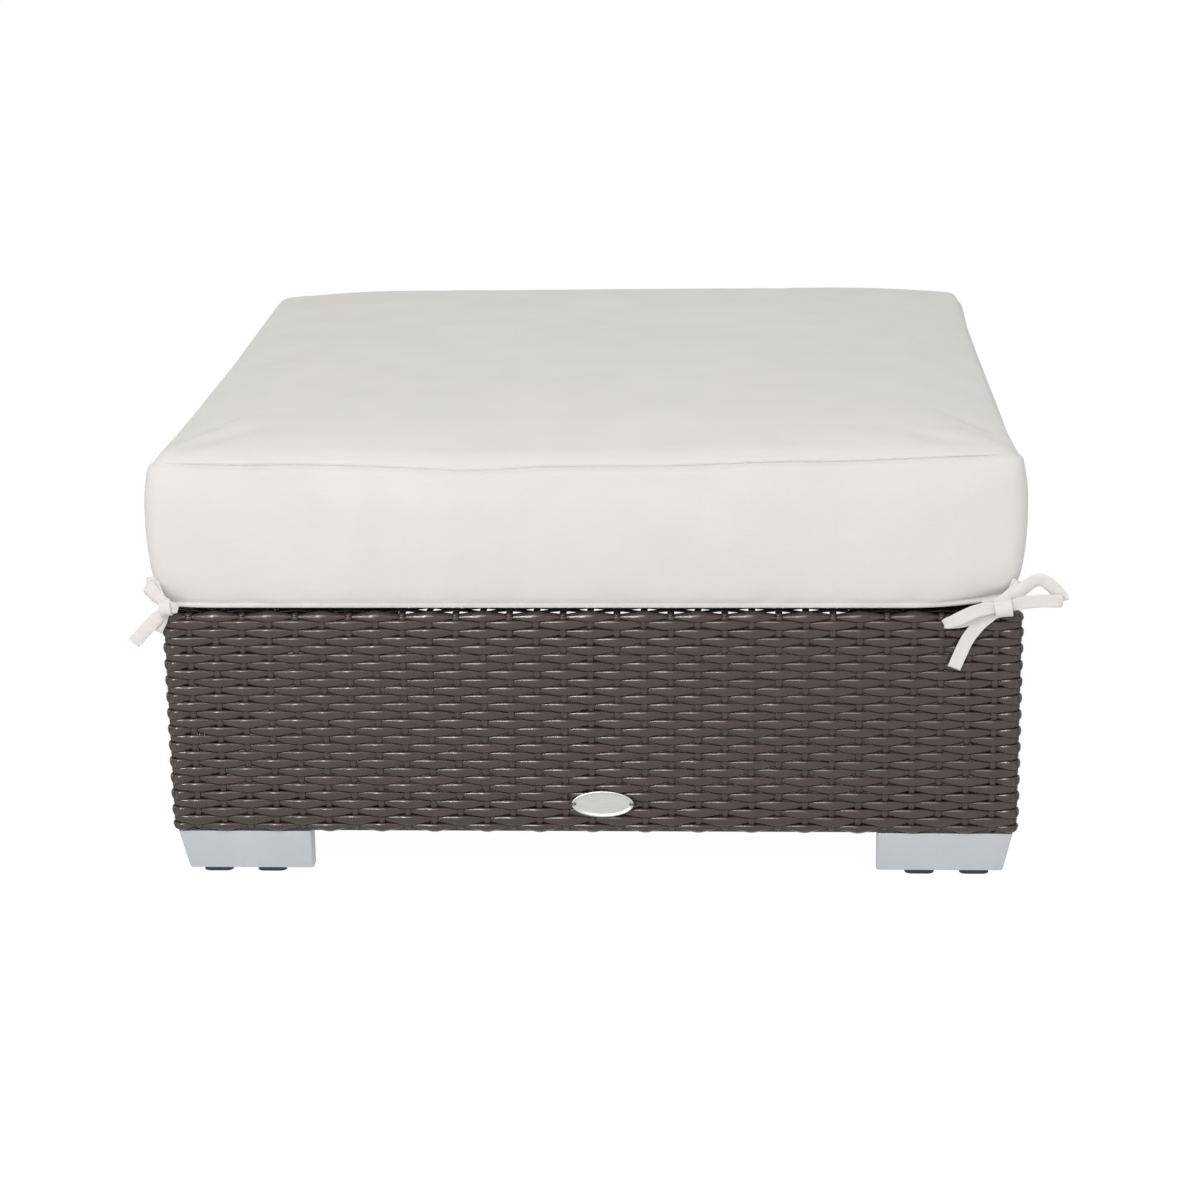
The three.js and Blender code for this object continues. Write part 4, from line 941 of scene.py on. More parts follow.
def cushion_shell(count, crown):
    """The box cushion's cover before it is stuffed: its vertices, faces and cloth coordinates, the vertices
    that stuffing holds, and those from which its swell starts."""
    centre = Vector(((cover_low.x + cover_high.x) / 2, (cover_low.y + cover_high.y) / 2))
    half = (cover_high.x - cover_low.x) / 2
    bottom = cover_low.z
    lower_edge = bottom + WELT_RISE
    around = 4 * count
    quarter = np.arange(around) // count
    _, places = side_places(half, half, SIDE_CORNER, count)
    seam = np.concatenate([
        smooth_table(SEAM_HEIGHTS[q], places[q * count:(q + 1) * count], SEAM_REACH) for q in range(4)
    ]) * MM
    # Shares for each point round the cushion: near a corner, near a side's middle, and where the seam is
    # drawn down
    corner = np.exp(-(((1 - np.abs(places)) * half) / SIDE_CORNER) ** 2)
    middle = np.cos(np.clip(np.abs(places), 0, 1) * math.pi / 2) ** 2
    dip_depth = 6 * MM
    dip = np.interp(seam, [-dip_depth, 0], [1, 0])
    front = np.where(quarter == 0, 1 - corner ** 3, 0)
    # The zip's tape keeps the back flat
    back = np.where(quarter == 2, 1 - corner, 0)
    rings = []

    def ring(inset, radius, height, lift):
        """Adds a ring of points with this inset and corner radius, each stood out by its own lift, in mm."""
        flat, _ = side_places(half - inset * MM, half - inset * MM, radius * MM, count)
        norm = np.maximum(np.abs(flat[:, 0]), np.abs(flat[:, 1]))[:, None]
        moved = flat + flat / norm * lift[:, None] * MM
        rings.append(np.column_stack([moved[:, 0] + centre.x, moved[:, 1] + centre.y, height]))

    # The bow draws the lower edge up at the front right corner
    drawn_height, drawn_length, far_away = 9 * MM, 100, 1e6
    place = places * half / MM
    to_corner = np.full(around, far_away)
    to_corner[:count] = half / MM - place[:count]
    to_corner[count:2 * count] = half / MM + place[count:2 * count]
    drawn = drawn_height * np.maximum(1 - to_corner / drawn_length, 0) ** 2
    # The corners' radius in mm: it tightens inwards over the underside, and at the seam and over the roll
    lower_radius, band_radius, seam_radius, least_radius = 26, 14, 10, 3
    lower_tightening, top_tightening, seam_radius_from = 0.36, 0.2, 0.9
    flat_middle = UNDERSIDE_PROFILE[0][1]
    for height, inset in UNDERSIDE_PROFILE:
        radius = max(lower_radius - inset * lower_tightening, least_radius)
        ring(inset, radius, bottom + height * MM + drawn * (1 - inset / flat_middle), np.zeros(around))
    # The filling pushes the band out, most at the middle of a side and where the seam is drawn down, in mm
    side_bulge, dip_bulge = 2.2, 2.4
    # The corners stand out half-way up and at the seam, and the ties pinch them at the lower edge
    corner_bulge, corner_point, tie_pinch = 1.4, 2.4, 4
    pinch_end, point_start, point_length = 0.22, 0.965, 0.035
    # Away from the front the seam lies softer
    softness, soft_start, soft_length = 2.2, 0.86, 0.12
    for share, inset in BAND_PROFILE:
        height = lower_edge + share * (SEAM_MEAN + seam - lower_edge) + drawn * (1 - share) ** 2
        bulge = side_bulge * np.sin(math.pi * share) * middle * (1 - back) + dip_bulge * share ** 3 * dip
        pinch = corner * (
            corner_bulge * math.sin(math.pi * share) - tie_pinch * max(1 - share / pinch_end, 0) ** 1.5
            + corner_point * max(share - point_start, 0) / point_length
        )
        soft_share = min(max((share - soft_start) / soft_length, 0), 1)
        soften = softness * (1 - front) * (1 - corner) * soft_share
        radius = band_radius if share < seam_radius_from else seam_radius
        ring(inset, radius, height, bulge + pinch - soften)
    # Up the roll the seam's waver fades, and the corners lie lower
    fading_rise, least_waver, corner_sink = 25, 0.2, 0.12
    # The roll stands out over the front seam, and a little at the corners, in mm
    front_proud, front_proud_rise, front_proud_spread = 3.2, 4, 5
    corner_proud, corner_proud_rise, corner_tuck, roll_width = 2.6, 5, 0.8, 30
    for rise, inset in ROLL_PROFILE:
        waver = seam * max(1 - rise / fading_rise, least_waver)
        height = SEAM_MEAN + waver + rise * MM * (1 - corner_sink * corner)
        near = max(1 - inset / roll_width, 0)
        proud = front_proud * front * math.exp(-((rise - front_proud_rise) / front_proud_spread) ** 2)
        lift = (
            near * (dip_bulge * dip - corner_tuck * corner) + proud
            + corner_proud * corner * max(1 - rise / corner_proud_rise, 0)
        )
        ring(inset, max(seam_radius - inset * top_tightening, least_radius), height, lift)

    faces, uv = [], []
    run = 0.0
    # The cloth is measured along the band's lower part
    girth = rings[len(UNDERSIDE_PROFILE) + 6]
    perimeter = np.concatenate([[0], np.cumsum(np.linalg.norm(np.diff(girth, axis=0), axis=1))])
    for r in range(len(rings) - 1):
        step = np.linalg.norm(rings[r + 1] - rings[r], axis=1).mean()
        for k in range(around):
            n = (k + 1) % around
            faces.append((r * around + k, r * around + n, (r + 1) * around + n, (r + 1) * around + k))
            left, right = perimeter[k], perimeter[k] + half * 2 / count
            uv += [(left, run), (right, run), (right, run + step), (left, run + step)]
        run += step
    all_points = np.concatenate(rings)
    # The band's right side stands in a little, and the filling is fuller towards the back, most at its right
    stands_in, fuller, fuller_from, right_share, blend_height = 2 * MM, 5.5 * MM, 0.08, 0.3, 12 * MM
    above_seam = np.clip((all_points[:, 2] - SEAM_MEAN) / blend_height, 0, 1)
    all_points[:, 0] -= stands_in * np.clip((all_points[:, 0] - centre.x) / half, 0, 1) * (1 - above_seam)
    to_back = np.clip((all_points[:, 1] - fuller_from) / (half - fuller_from), 0, 1) ** 1.5
    all_points[:, 2] += fuller * to_back * above_seam * (1 + right_share * all_points[:, 0] / half)
    seam_ring = len(UNDERSIDE_PROFILE) + len(BAND_PROFILE) - 1
    seam_line = range(seam_ring * around, (seam_ring + 1) * around)
    # Stuffing holds the seam, the underside and the welt
    first_free_ring = len(UNDERSIDE_PROFILE) + 4
    held = set(seam_line) | set(range(first_free_ring * around))

    def cap(ring_index, top):
        """Closes a ring with a grid, crowned if it is the top, and gives the grid's inner vertices."""
        nonlocal all_points
        border = {}
        for k in range(count):
            border[(k, 0)] = k
            border[(count, k)] = count + k
            border[(count - k, count)] = 2 * count + k
            border[(0, count - k)] = 3 * count + k
        start = len(all_points)
        base = all_points[ring_index * around:(ring_index + 1) * around]
        inner, numbers = [], {}

        def at(i, j):
            return base[border[(i, j)]]

        def number(i, j):
            return numbers.get((i, j), ring_index * around + border.get((i, j), 0))

        for j in range(1, count):
            v = j / count
            for i in range(1, count):
                u = i / count
                point = ((1 - v) * at(i, 0) + v * at(i, count) + (1 - u) * at(0, j) + u * at(count, j)
                         - (1 - u) * (1 - v) * at(0, 0) - u * (1 - v) * at(count, 0)
                         - (1 - u) * v * at(0, count) - u * v * at(count, count))
                if top:
                    rise = crown * (1 - (2 * u - 1) ** 2) ** 0.8 * (1 - (2 * v - 1) ** 2) ** 0.8
                    point = point + np.array([0, 0, rise])
                numbers[(i, j)] = start + len(inner)
                inner.append(point)
        all_points = np.concatenate([all_points, np.array(inner)])
        for j in range(count):
            for i in range(count):
                quad = [number(i, j), number(i + 1, j), number(i + 1, j + 1), number(i, j + 1)]
                if not top:
                    quad.reverse()
                faces.append(tuple(quad))
                uv.extend((all_points[n][0], all_points[n][1]) for n in quad)
        return set(numbers.values())

    held |= cap(0, False)
    cap(len(rings) - 1, True)
    tape_rings = [
        r for r, (share, _) in enumerate(BAND_PROFILE, len(UNDERSIDE_PROFILE)) if 0.4 < share < 0.6
    ]
    behind_tape = [
        r * around + k for r in tape_rings for k in range(2 * count, 3 * count)
        if tape_low.x < all_points[r * around + k][0] < tape_high.x
    ]
    return all_points, faces, uv, sorted(held | set(behind_tape)), [*seam_line, *behind_tape]


def stuff(piece, held, seam, limit):
    """Blows the cushion's cloth up a little from inside with its seams held, and caps how far each point may
    move. The swell starts from nothing at the seam, which stays the lowest line in its groove."""
    frames = 20
    swell_width = 35 * MM  # from the seam to where the cloth swells fully
    rest = np.empty(len(piece.data.vertices) * 3)
    piece.data.vertices.foreach_get("co", rest)
    rest = rest.reshape(-1, 3)
    group = piece.vertex_groups.new(name="seams")
    group.add(held, 1.0, "REPLACE")
    cloth = piece.modifiers.new("Stuffing", "CLOTH")
    cloth.settings.quality = 4
    cloth.settings.mass = 0.3
    cloth.settings.tension_stiffness = 25
    cloth.settings.compression_stiffness = 25
    cloth.settings.shear_stiffness = 10
    cloth.settings.bending_stiffness = 1.5
    cloth.settings.use_pressure = True
    cloth.settings.uniform_pressure_force = 4
    cloth.settings.shrink_min = -0.006
    cloth.settings.effector_weights.gravity = 0
    cloth.settings.vertex_group_mass = "seams"
    cloth.collision_settings.use_collision = False
    cloth.collision_settings.use_self_collision = False
    cloth.point_cache.frame_start = 1
    cloth.point_cache.frame_end = frames
    scene = bpy.context.scene
    for number in range(1, frames + 1):
        scene.frame_set(number)
    graph = bpy.context.evaluated_depsgraph_get()
    puffed = np.empty(len(rest) * 3)
    piece.evaluated_get(graph).data.vertices.foreach_get("co", puffed)
    puffed = puffed.reshape(-1, 3)
    piece.modifiers.clear()
    piece.vertex_groups.clear()
    scene.frame_set(1)
    move = puffed - rest
    size = np.linalg.norm(move, axis=1, keepdims=True)
    tree = KDTree(len(seam))
    for number in seam:
        tree.insert(rest[number], number)
    tree.balance()
    apart = np.array([tree.find(point)[2] for point in rest])[:, None]
    away = np.clip(apart / swell_width, 0, 1)
    capped = limit * np.tanh(size / limit) * away * away * (3 - 2 * away)
    piece.data.vertices.foreach_set("co", (rest + move / np.maximum(size, 1e-9) * capped).ravel())
    piece.data.update()


class FOOTSTOOL_OT_cushion(bpy.types.Operator):
    """Sews and stuffs the box cushion, with the foam block inside it"""
    bl_idname = "footstool.cushion"
    bl_label = "Cushion"

    def execute(self, context):
        cushion = context.scene.footstool_cushion
        canvas = outdoor_canvas("outdoor_canvas", cushion.cloth_colour)
        points, faces, uv, held, seam = cushion_shell(cushion.segments, cushion.crown)
        cover = mesh_object("box_cushion", points, faces, canvas, uv)
        face_outward(cover.data)
        stuff(cover, held, seam, cushion.puff)
        smooth = cover.modifiers.new("Smooth", "SUBSURF")
        smooth.levels = smooth.render_levels = 1
        settle(cover, "cushion", "cushion_cover", slot="cushion_fabric")

        edge_round, cut_small = 6 * MM, 10 * MM
        foam = finished_copy("foam_block", "foam_core", open_cell_foam(), edge_round, 3)
        # The block is cut a little small, so that the cover can sink at its seams
        low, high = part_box("foam_core")
        middle = (low + high) / 2
        shrink = Matrix.Diagonal([(side - cut_small) / side for side in high - low]).to_4x4()
        foam.data.transform(Matrix.Translation(middle) @ shrink @ Matrix.Translation(-middle))
        settle(foam, "cushion", "foam_core", slot="cushion_foam")
        return {"FINISHED"}


# Tie ribbons of the front bows. Each point gives, in mm, the distance outwards from the middle of the front,
# the distance in front of the base and the height, then the tape's own direction across: its angle from the
# outward line, and its tilt towards the front, in degrees. A sixth number is the share of the tape's width
# that shows. A knot has its middle's place in the same way, its axis's angle, and its width as a share of
# the tape's.
RIGHT_BOW = (
    ((383, 7, 270.5, 100, 0), (370.5, 10.5, 271.5, 98, 0), (356.5, 11.5, 268.5, 105, 0),
     (342, 11, 261.5, 112, 0), (332.5, 10.3, 257, 112, 0, 0.86), (328.5, 8.4, 255.4, 111, 0, 0.62),
     (332, 6.4, 255.6, 108, 0, 0.86), (344, 5.6, 257, 106, 0), (359, 5.5, 261.5, 107, 0),
     (371, 5.5, 266, 105, 0), (381.5, 5, 268.5, 100, 0)),
    ((381.5, 4.5, 268, 115, 0), (371, 4, 262.5, 128, 0), (360, 3.5, 252.5, 138, 0), (351, 3, 240, 145, 0),
     (344.5, 2.8, 226, 153, 0), (338.5, 2.8, 211, 158, 0)),
    ((383, 6, 270.5, 120, 0), (391.5, 4.5, 278.5, 135, 0), (402, 3.5, 289, 135, 0), (414, 5, 296.5, 100, 10),
     (423.5, 7, 293, 60, 10), (431.5, 8, 285.5, 52, 0), (436, 10, 278.5, 60, 0), (429.5, 12, 278.5, 80, 0),
     (414.5, 11.5, 278.5, 95, 0), (399.5, 10, 276, 97, 0), (386, 8, 272, 100, 0)),
    ((397, -2, 294, 150, 0), (393, 0.5, 285.5, 150, 0), (388.5, 3.5, 276, 150, 0),
     (384.5, 5, 269.5, 140, 0)),
    ((364, 5.5, 271, 104, 0), (372, 6.2, 273.5, 108, 0), (381, 6, 277.5, 114, 0), (391, 4, 283.5, 122, 0),
     (399, 0, 290.5, 130, 0)),
)
RIGHT_KNOT = (382.5, 7.5, 270, 8, 1.3)
LEFT_BOW = (
    ((397, 5, 270.5, 138, 0), (402.5, 5, 278, 136, 0), (408, 5, 285.5, 130, 0), (411.5, 4, 289.5, 127, 0),
     (413.5, 1.5, 290.5, 126, 0), (412.5, -1, 288, 126, 0), (409, -2, 282.5, 130, 0), (403, 0, 277, 136, 0),
     (397, 3, 271.5, 138, 0)),
    ((396, 5, 268.5, 60, 0), (404, 5, 260.5, 50, 0), (413, 4.5, 251.5, 44, 0), (422.5, 4, 241.5, 42, 0),
     (428.5, 4, 235, 42, 0)),
    ((398, 2, 264.5, 32, 0), (403, 1.5, 255, 30, 0), (407.5, 1, 246, 28, 0)),
    ((409, -5, 297, 170, 0), (407, 0, 288.5, 160, 0), (401.5, 5, 280.5, 138, 0), (394, 8, 274.5, 125, 0),
     (388, 8.5, 270.3, 116, 0), (384.5, 6.5, 269, 112, 0, 0.7)),
)
LEFT_KNOT = (396, 6, 270, 172, 0.86)


def through(points, steps):
    """A smooth curve through rows of numbers, with this many steps from one row to the next."""
    points = np.asarray(points, float)
    rows = np.vstack([2 * points[0] - points[1], points, 2 * points[-1] - points[-2]])
    share = np.arange(steps)[:, None] / steps
    parts = []
    for a, b, c, d in zip(rows, rows[1:], rows[2:], rows[3:]):
        parts.append(0.5 * (2 * b + (c - a) * share + (2 * a - 5 * b + 4 * c - d) * share ** 2
                            + (3 * b - a - 3 * c + d) * share ** 3))
    return np.vstack(parts + [points[-1:]])


def tape_mesh(places, across, width, thickness, shares):
    """A flat tape along places, each with its own direction across and share of the width. It is cupped a
    little, with thinner edges."""
    ahead = np.gradient(places, axis=0)
    ahead /= np.linalg.norm(ahead, axis=1, keepdims=True)
    across = across - (across * ahead).sum(1, keepdims=True) * ahead
    across /= np.linalg.norm(across, axis=1, keepdims=True)
    normal = np.cross(ahead, across)
    run = np.concatenate([[0], np.cumsum(np.linalg.norm(np.diff(places, axis=0), axis=1))])
    section = [(-1, 0.1), (-0.93, 0.42), (-0.5, 0.5), (0, 0.5), (0.5, 0.5), (0.93, 0.42), (1, 0.1)]
    loop = [(u, h) for u, h in section] + [(u, -h) for u, h in reversed(section)]
    sides = len(loop)
    cupping = 0.06

    def crease(far, u):
        """Handling has left soft creases, slantwise to the tape."""
        height, fine, broad = 0.4 * MM, 2.6 * MM, 7.3 * MM
        return height * math.sin(far / fine + 1.9 * u) * math.sin(far / broad - 2.4 * u + 1)

    vertices = [
        place + side * u * share * width / 2
        + up * (h * thickness - cupping * width * u * u + crease(far, u))
        for place, side, up, share, far in zip(places, across, normal, shares, run) for u, h in loop
    ]
    faces, uv = [], []
    for row in range(len(places) - 1):
        for k in range(sides):
            n = (k + 1) % sides
            faces.append((row * sides + k, row * sides + n, (row + 1) * sides + n, (row + 1) * sides + k))
            left, right = loop[k][0] * width / 2, loop[n][0] * width / 2
            uv += [(left, run[row]), (right, run[row]), (right, run[row + 1]), (left, run[row + 1])]
    last = (len(places) - 1) * sides
    for start, order in ((0, 1), (last, -1)):
        for k in range(len(section) - 1):
            quad = [start + k, start + k + 1, start + sides - 2 - k, start + sides - 1 - k][::-order]
            faces.append(tuple(quad))
            uv += [(loop[i - start][0] * width / 2, run[0 if start == 0 else -1]) for i in quad]
    return vertices, faces, uv


def bow_mesh(ribbons, knot, width, thickness):
    """All the tapes of one bow with the band of its knot, as they stand on the base's front at the right."""
    curve_steps, knot_steps = 7, 29
    knot_height, knot_depth = 7.2 * MM, 6 * MM
    # The knot gathers the tape, to this share of its width, between these distances from the knot's middle
    gathered, gather_from, gather_to = 0.66, 4 * MM, 16 * MM
    parts = []
    middle = np.array([knot[0] * MM, deck_low.y - knot[1] * MM, knot[2] * MM])
    for points in ribbons:
        rows = np.array([(*point, 1)[:6] for point in points], float)
        angle, tilt = np.radians(rows[:, 3]), np.radians(rows[:, 4])
        across = np.stack([np.cos(angle) * np.cos(tilt), -np.sin(tilt), np.sin(angle) * np.cos(tilt)], 1)
        place = rows[:, :3] * MM
        place[:, 1] = deck_low.y - place[:, 1]
        curve = through(np.hstack([place, across, rows[:, 5:]]), curve_steps)
        apart = np.linalg.norm(curve[:, :3] - middle, axis=1)
        shares = curve[:, 6] * np.interp(apart, [gather_from, gather_to], [gathered, 1])
        parts.append(tape_mesh(curve[:, :3], curve[:, 3:6], width, thickness, shares))
    # The knot is one turn of the tape round the others
    turn = np.linspace(0.5 * math.pi, 2.5 * math.pi, knot_steps)
    angle = math.radians(knot[3])
    axis = np.array([math.cos(angle), 0, math.sin(angle)])
    upright = np.array([-math.sin(angle), 0, math.cos(angle)])
    backward = [0, 1, 0]
    rise, run = np.cos(turn) * knot_height, np.sin(turn) * knot_depth
    ring = middle + np.outer(rise, upright) + np.outer(run, backward)
    steps = len(ring)
    parts.append(tape_mesh(ring, np.tile(axis, (steps, 1)), width * knot[4], thickness, np.ones(steps)))
    vertices, faces, uv = [], [], []
    for part_vertices, part_faces, part_uv in parts:
        faces += [tuple(n + len(vertices) for n in face) for face in part_faces]
        vertices += part_vertices
        uv += part_uv
    return np.array(vertices), faces, uv


class FOOTSTOOL_OT_ties(bpy.types.Operator):
    """Ties the cushion down with a bow at each corner"""
    bl_idname = "footstool.ties"
    bl_label = "Ties"

    def execute(self, context):
        tie = context.scene.footstool_tie
        twill = outdoor_canvas("tie_tape", linear("#e4e0dd"))
        # The back bows are the front ones turned half round with the base
        for corner, bow, knot, mirror, turned in (
            ("front_right", RIGHT_BOW, RIGHT_KNOT, 1, 1), ("front_left", LEFT_BOW, LEFT_KNOT, -1, 1),
            ("back_left", RIGHT_BOW, RIGHT_KNOT, 1, -1), ("back_right", LEFT_BOW, LEFT_KNOT, -1, -1),
        ):
            vertices, faces, uv = bow_mesh(bow, knot, tie.tape_width, tie.tape_thickness)
            vertices *= np.array([mirror * turned, turned, 1])
            ribbons = mesh_object(f"tie_bow_{corner}", vertices, faces, twill, uv)
            face_outward(ribbons.data)
            settle(ribbons, "cushion", f"tie_{corner}", slot="tie_fabric")
        return {"FINISHED"}


# Zip
def small_parts_tree():
    """A straight row of small rounded parts along X, with every second one raised by Second Rise."""
    tree = bpy.data.node_groups.new("Row of small parts", "GeometryNodeTree")
    tree.is_modifier = True
    given = number_inputs(tree, [
        "Start", "Face", "Height", "Pitch", "Count", "Second Rise", "Part Length", "Part Depth",
        "Part Height",
    ])
    tree.interface.new_socket("Part Material", in_out="INPUT", socket_type="NodeSocketMaterial")
    more = add_node(tree, "NodeGroupInput")
    tree.interface.new_socket("Row", in_out="OUTPUT", socket_type="NodeSocketGeometry")
    start = add_node(tree, "ShaderNodeCombineXYZ", [given["Start"], given["Face"], given["Height"]])
    step = add_node(tree, "ShaderNodeCombineXYZ", [given["Pitch"], 0.0, 0.0])
    line = add_node(tree, "GeometryNodeMeshLine", {
        "Count": given["Count"], "Start Location": start, "Offset": step,
    }, mode="OFFSET")
    number = add_node(tree, "GeometryNodeInputIndex")
    second = add_node(tree, "ShaderNodeMath", [number, 2.0], operation="MODULO")
    rise = add_node(tree, "ShaderNodeMath", [second, given["Second Rise"]], operation="MULTIPLY")
    shift = add_node(tree, "ShaderNodeCombineXYZ", [0.0, 0.0, rise])
    placed = add_node(tree, "GeometryNodeSetPosition", {"Geometry": line, "Offset": shift})
    grain = add_node(tree, "GeometryNodeMeshIcoSphere", {"Radius": 0.5, "Subdivisions": 1})
    size = add_node(tree, "ShaderNodeCombineXYZ", [
        given["Part Length"], given["Part Depth"], given["Part Height"],
    ])
    parts = add_node(
        tree, "GeometryNodeInstanceOnPoints", {"Points": placed, "Instance": grain, "Scale": size},
    )
    plain = add_node(tree, "GeometryNodeRealizeInstances", [parts])
    smooth = add_node(tree, "GeometryNodeSetShadeSmooth", [plain])
    painted = add_node(
        tree, "GeometryNodeSetMaterial", {"Geometry": smooth, "Material": more.outputs["Part Material"]},
    )
    add_node(tree, "NodeGroupOutput", {"Row": painted})
    return tree


class FOOTSTOOL_OT_zip(bpy.types.Operator):
    """Adds the zip on the back of the cushion"""
    bl_idname = "footstool.zip"
    bl_label = "Zip"

    def execute(self, context):
        webbing = outdoor_canvas("zip_webbing", linear("#d6d3cc"))
        metal = brushed_metal("zip_metal", "#a9abad", "#d4d5d6", 0.3, (900, 900, 900))
        tape = finished_copy("zip_chain_tape", "zip_tape", webbing, 0.3 * MM, 2)
        layer = tape.data.uv_layers.new(name="cloth")
        for corner, loop in zip(layer.data, tape.data.loops):
            place = tape.data.vertices[loop.vertex_index].co
            corner.uv = (place.x, place.z)
        settle(tape, "cushion", "zip_tape", slot="zip_tape_fabric")

        length, middle = tape_high.x - tape_low.x, (tape_low.z + tape_high.z) / 2
        tape_thickness, chain_sunk, end_margin = 1.2 * MM, 0.1 * MM, 4 * MM
        tape_front, chain_front = tape_low.y + tape_thickness, tape_high.y - chain_sunk
        coil = brushed_metal("zip_coil", "#b9b8b3", "#dad9d4", 0.42, (700, 700, 700))
        thread = bpy.data.materials["tie_tape"]
        tree = small_parts_tree()
        tooth_pitch, tooth_rise, tooth_size = 1.1 * MM, 1.6 * MM, (1.3, 1.2, 3.0)
        stitch_pitch, stitch_line, stitch_size = 3.2 * MM, 8.6 * MM, (2.3, 0.7, 0.7)
        rows = (
            ("zip_teeth", coil, chain_front, middle - tooth_rise / 2, tooth_pitch, tooth_rise, tooth_size),
            ("zip_stitches_upper", thread, tape_front, middle + stitch_line, stitch_pitch, 0.0, stitch_size),
            ("zip_stitches_lower", thread, tape_front, middle - stitch_line, stitch_pitch, 0.0, stitch_size),
        )
        for name, material, face, height, pitch, rise, size in rows:
            count = int((length - end_margin) / pitch)
            row = grown(name, tree, {
                "Start": tape_low.x + (length - (count - 1) * pitch) / 2, "Face": face, "Height": height,
                "Pitch": pitch, "Count": float(count), "Second Rise": rise, "Part Length": size[0] * MM,
                "Part Depth": size[1] * MM, "Part Height": size[2] * MM, "Part Material": material,
            })
            settle(row, "cushion", slot="zip_tape_fabric")
        slider = finished_copy("zip_slider_body", "zip_slider", metal, 0.35 * MM, 2)
        settle(slider, "zip_slider", "zip_slider", slot="zip_metal")
        pull = finished_copy("zip_pull_tab", "zip_pull", metal, 0.3 * MM, 2)
        settle(pull, "zip_pull", "zip_pull", slot="zip_metal")
        return {"FINISHED"}


# Stage
def seen_directly(tree):
    """One for what the camera sees, straight or in a shine, and nought for light on its way."""
    path = add_node(tree, "ShaderNodeLightPath")
    seen = add_node(tree, "ShaderNodeMath", [
        path.outputs["Is Camera Ray"], path.outputs["Is Glossy Ray"],
    ], operation="MAXIMUM")
    return add_node(tree, "ShaderNodeMath", [seen, path.outputs["Is Transmission Ray"]], operation="MAXIMUM")


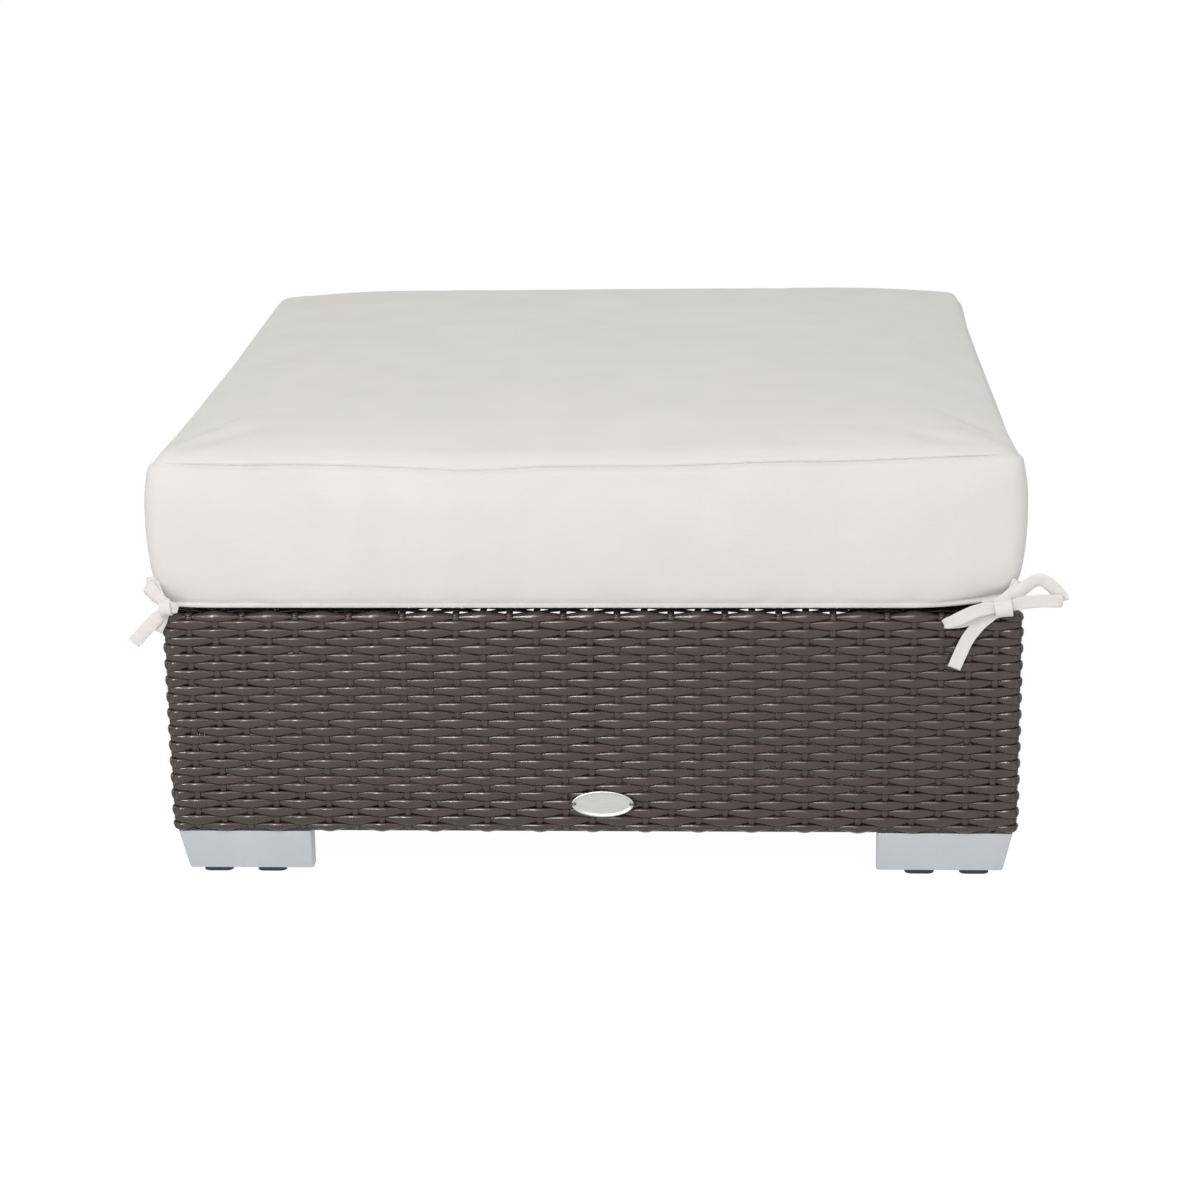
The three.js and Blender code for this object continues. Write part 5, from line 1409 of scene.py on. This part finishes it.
class FOOTSTOOL_OT_stage(bpy.types.Operator):
    """Sets up the pale floor, the studio light and the camera"""
    bl_idname = "footstool.stage"
    bl_label = "Stage"

    def execute(self, context):
        scene = context.scene
        stage = scene.footstool_stage
        scene.view_settings.view_transform = "Standard"

        white, tree = new_material("pale_floor")
        seen = seen_directly(tree)
        # The floor is seen as white, with a little of its own shading left for the object's shadow. Under
        # the middle of the base, where little light comes, it is seen mostly as it is lit, and its paint
        # there is darkened from 0.9 to 0.3: a painted shadow.
        spot = add_node(tree, "ShaderNodeTexCoord")
        spot = add_node(tree, "ShaderNodeSeparateXYZ", [spot.outputs["Object"]])
        widening, half_width = 0.1, 0.445
        width = add_node(
            tree, "ShaderNodeMath", [spot.outputs["Y"], widening, half_width], operation="MULTIPLY_ADD",
        )
        sideways = add_node(tree, "ShaderNodeMath", [spot.outputs["X"], width], operation="DIVIDE")
        sideways = add_node(tree, "ShaderNodeMath", [sideways], operation="ABSOLUTE")
        # Behind the stool the edge of the painted shadow is wide and soft, and beside it and in front
        # narrow. Places are in metres from the middle of the base, and sideways in shares of the width
        # above.
        far_back = add_node(tree, "ShaderNodeMapRange", {
            "Value": spot.outputs["Y"], "From Min": 0.3, "From Max": 0.56,
        }, interpolation_type="SMOOTHSTEP")
        near_side = add_node(tree, "ShaderNodeMapRange", {
            "Value": sideways, "From Min": 0.94, "From Max": 1.0,
        }, interpolation_type="SMOOTHSTEP")
        near_front = add_node(tree, "ShaderNodeMapRange", {
            "Value": spot.outputs["Y"], "From Min": -0.198, "From Max": -0.22,
        })
        outside = add_node(tree, "ShaderNodeMath", [far_back, near_side], operation="MAXIMUM")
        outside = add_node(tree, "ShaderNodeMath", [outside, near_front], operation="MAXIMUM")
        white_share = add_node(
            tree, "ShaderNodeMapRange", {"Value": outside, "To Min": 0.02, "To Max": 0.97},
        )
        # The floor's paint: 0.9 outside, darkened to 0.3 under the base as a painted shadow
        shade = add_node(tree, "ShaderNodeMapRange", {"Value": outside, "To Min": 0.3, "To Max": 0.9})
        share = add_node(tree, "ShaderNodeMath", [seen, white_share], operation="MULTIPLY")
        paint = add_node(tree, "ShaderNodeBsdfDiffuse", {"Color": shade})
        glow = add_node(tree, "ShaderNodeEmission", {"Color": (1, 1, 1, 1), "Strength": 1.02})
        both = add_node(tree, "ShaderNodeMixShader", [share, paint, glow])
        add_node(tree, "ShaderNodeOutputMaterial", {"Surface": both})
        reach = 30.0  # metres to each side
        corners = [(-reach, -reach, 0), (reach, -reach, 0), (reach, reach, 0), (-reach, reach, 0)]
        floor = mesh_object("floor", corners, [(0, 1, 2, 3)], white)

        world = bpy.data.worlds.new("Studio")
        scene.world = world
        world.use_nodes = True
        sky = world.node_tree
        sky.nodes.clear()
        seen = seen_directly(sky)
        strength = add_node(
            sky, "ShaderNodeMix", {"Factor": seen, "A": stage.sky_strength, "B": 1.0}, data_type="FLOAT",
        )
        backdrop = add_node(sky, "ShaderNodeBackground", {"Color": (1, 1, 1, 1), "Strength": strength})
        add_node(sky, "ShaderNodeOutputWorld", {"Surface": backdrop})

        lamps = (
            ("key_light", (-0.5, -2.75, 2.2), (0, -0.2, 0.3), 1.7, 1.4, stage.key_power, True),
            ("side_light", (-1.24, -2.4, 1.65), (-0.2, -0.4, 0.2), 0.35, 1.2, stage.side_power, False),
        )
        for name, place, target, width, height, power, lights_cloth in lamps:
            data = bpy.data.lights.new(name, "AREA")
            data.shape = "RECTANGLE"
            data.size, data.size_y, data.energy = width, height, power
            lamp = link(bpy.data.objects.new(name, data))
            lamp.location = place
            lamp.visible_diffuse = lights_cloth
            lamp.rotation_euler = (Vector(target) - Vector(place)).to_track_quat("-Z", "Y").to_euler()

        # The camera's place and turn, fitted to the photo's view
        place = (0.142, -3.054, 1.033)
        yaw, pitch, roll = (math.radians(angle) for angle in (2.85, 15.92, -0.77))
        level = Vector((-math.sin(yaw), math.cos(yaw), 0))
        right = Vector((math.cos(yaw), math.sin(yaw), 0))
        up = Vector((0, 0, 1))
        forward = level * math.cos(pitch) - up * math.sin(pitch)
        above = up * math.cos(pitch) + level * math.sin(pitch)
        rolled_right = right * math.cos(roll) + above * math.sin(roll)
        rolled_above = above * math.cos(roll) - right * math.sin(roll)
        data = bpy.data.cameras.new("camera")
        data.sensor_width, data.lens = 36.0, 89.1
        data.clip_start, data.clip_end = 0.05, 100.0
        camera = link(bpy.data.objects.new("camera", data))
        turn = Matrix((rolled_right, rolled_above, -forward)).transposed().to_4x4()
        camera.matrix_world = Matrix.Translation(place) @ turn
        scene.camera = camera
        return {"FINISHED"}


class FOOTSTOOL_PT_pieces(bpy.types.Panel):
    """Lists the footstool's pieces and their sizes"""
    bl_idname = "FOOTSTOOL_PT_pieces"
    bl_label = "Outdoor Footstool"
    bl_space_type = "VIEW_3D"
    bl_region_type = "UI"
    bl_category = "Footstool"

    def draw(self, context):
        for step in OPERATORS:
            self.layout.operator(step.bl_idname)
        for name in SETTINGS:
            box = self.layout.box()
            group = getattr(context.scene, name)
            for key in group.bl_rna.properties.keys():
                if key not in ("rna_type", "name"):
                    box.prop(group, key)


SETTINGS = {
    "footstool_weave": WeaveSettings,
    "footstool_cushion": CushionSettings,
    "footstool_tie": TieSettings,
    "footstool_metal": MetalSettings,
    "footstool_stage": StageSettings,
}
OPERATORS = (
    FOOTSTOOL_OT_stage,
    FOOTSTOOL_OT_woven_sides,
    FOOTSTOOL_OT_woven_deck,
    FOOTSTOOL_OT_frame_finish,
    FOOTSTOOL_OT_feet,
    FOOTSTOOL_OT_badge,
    FOOTSTOOL_OT_cushion,
    FOOTSTOOL_OT_ties,
    FOOTSTOOL_OT_zip,
)


def register():
    for name, group in SETTINGS.items():
        bpy.utils.register_class(group)
        setattr(bpy.types.Scene, name, PointerProperty(type=group))
    for step in OPERATORS:
        bpy.utils.register_class(step)
    bpy.utils.register_class(FOOTSTOOL_PT_pieces)


def unregister():
    bpy.utils.unregister_class(FOOTSTOOL_PT_pieces)
    for step in reversed(OPERATORS):
        bpy.utils.unregister_class(step)
    for name, group in SETTINGS.items():
        delattr(bpy.types.Scene, name)
        bpy.utils.unregister_class(group)


def main():
    register()
    for step in OPERATORS:
        group, name = step.bl_idname.split(".")
        getattr(getattr(bpy.ops, group), name)()


if __name__ == "__main__":
    main()
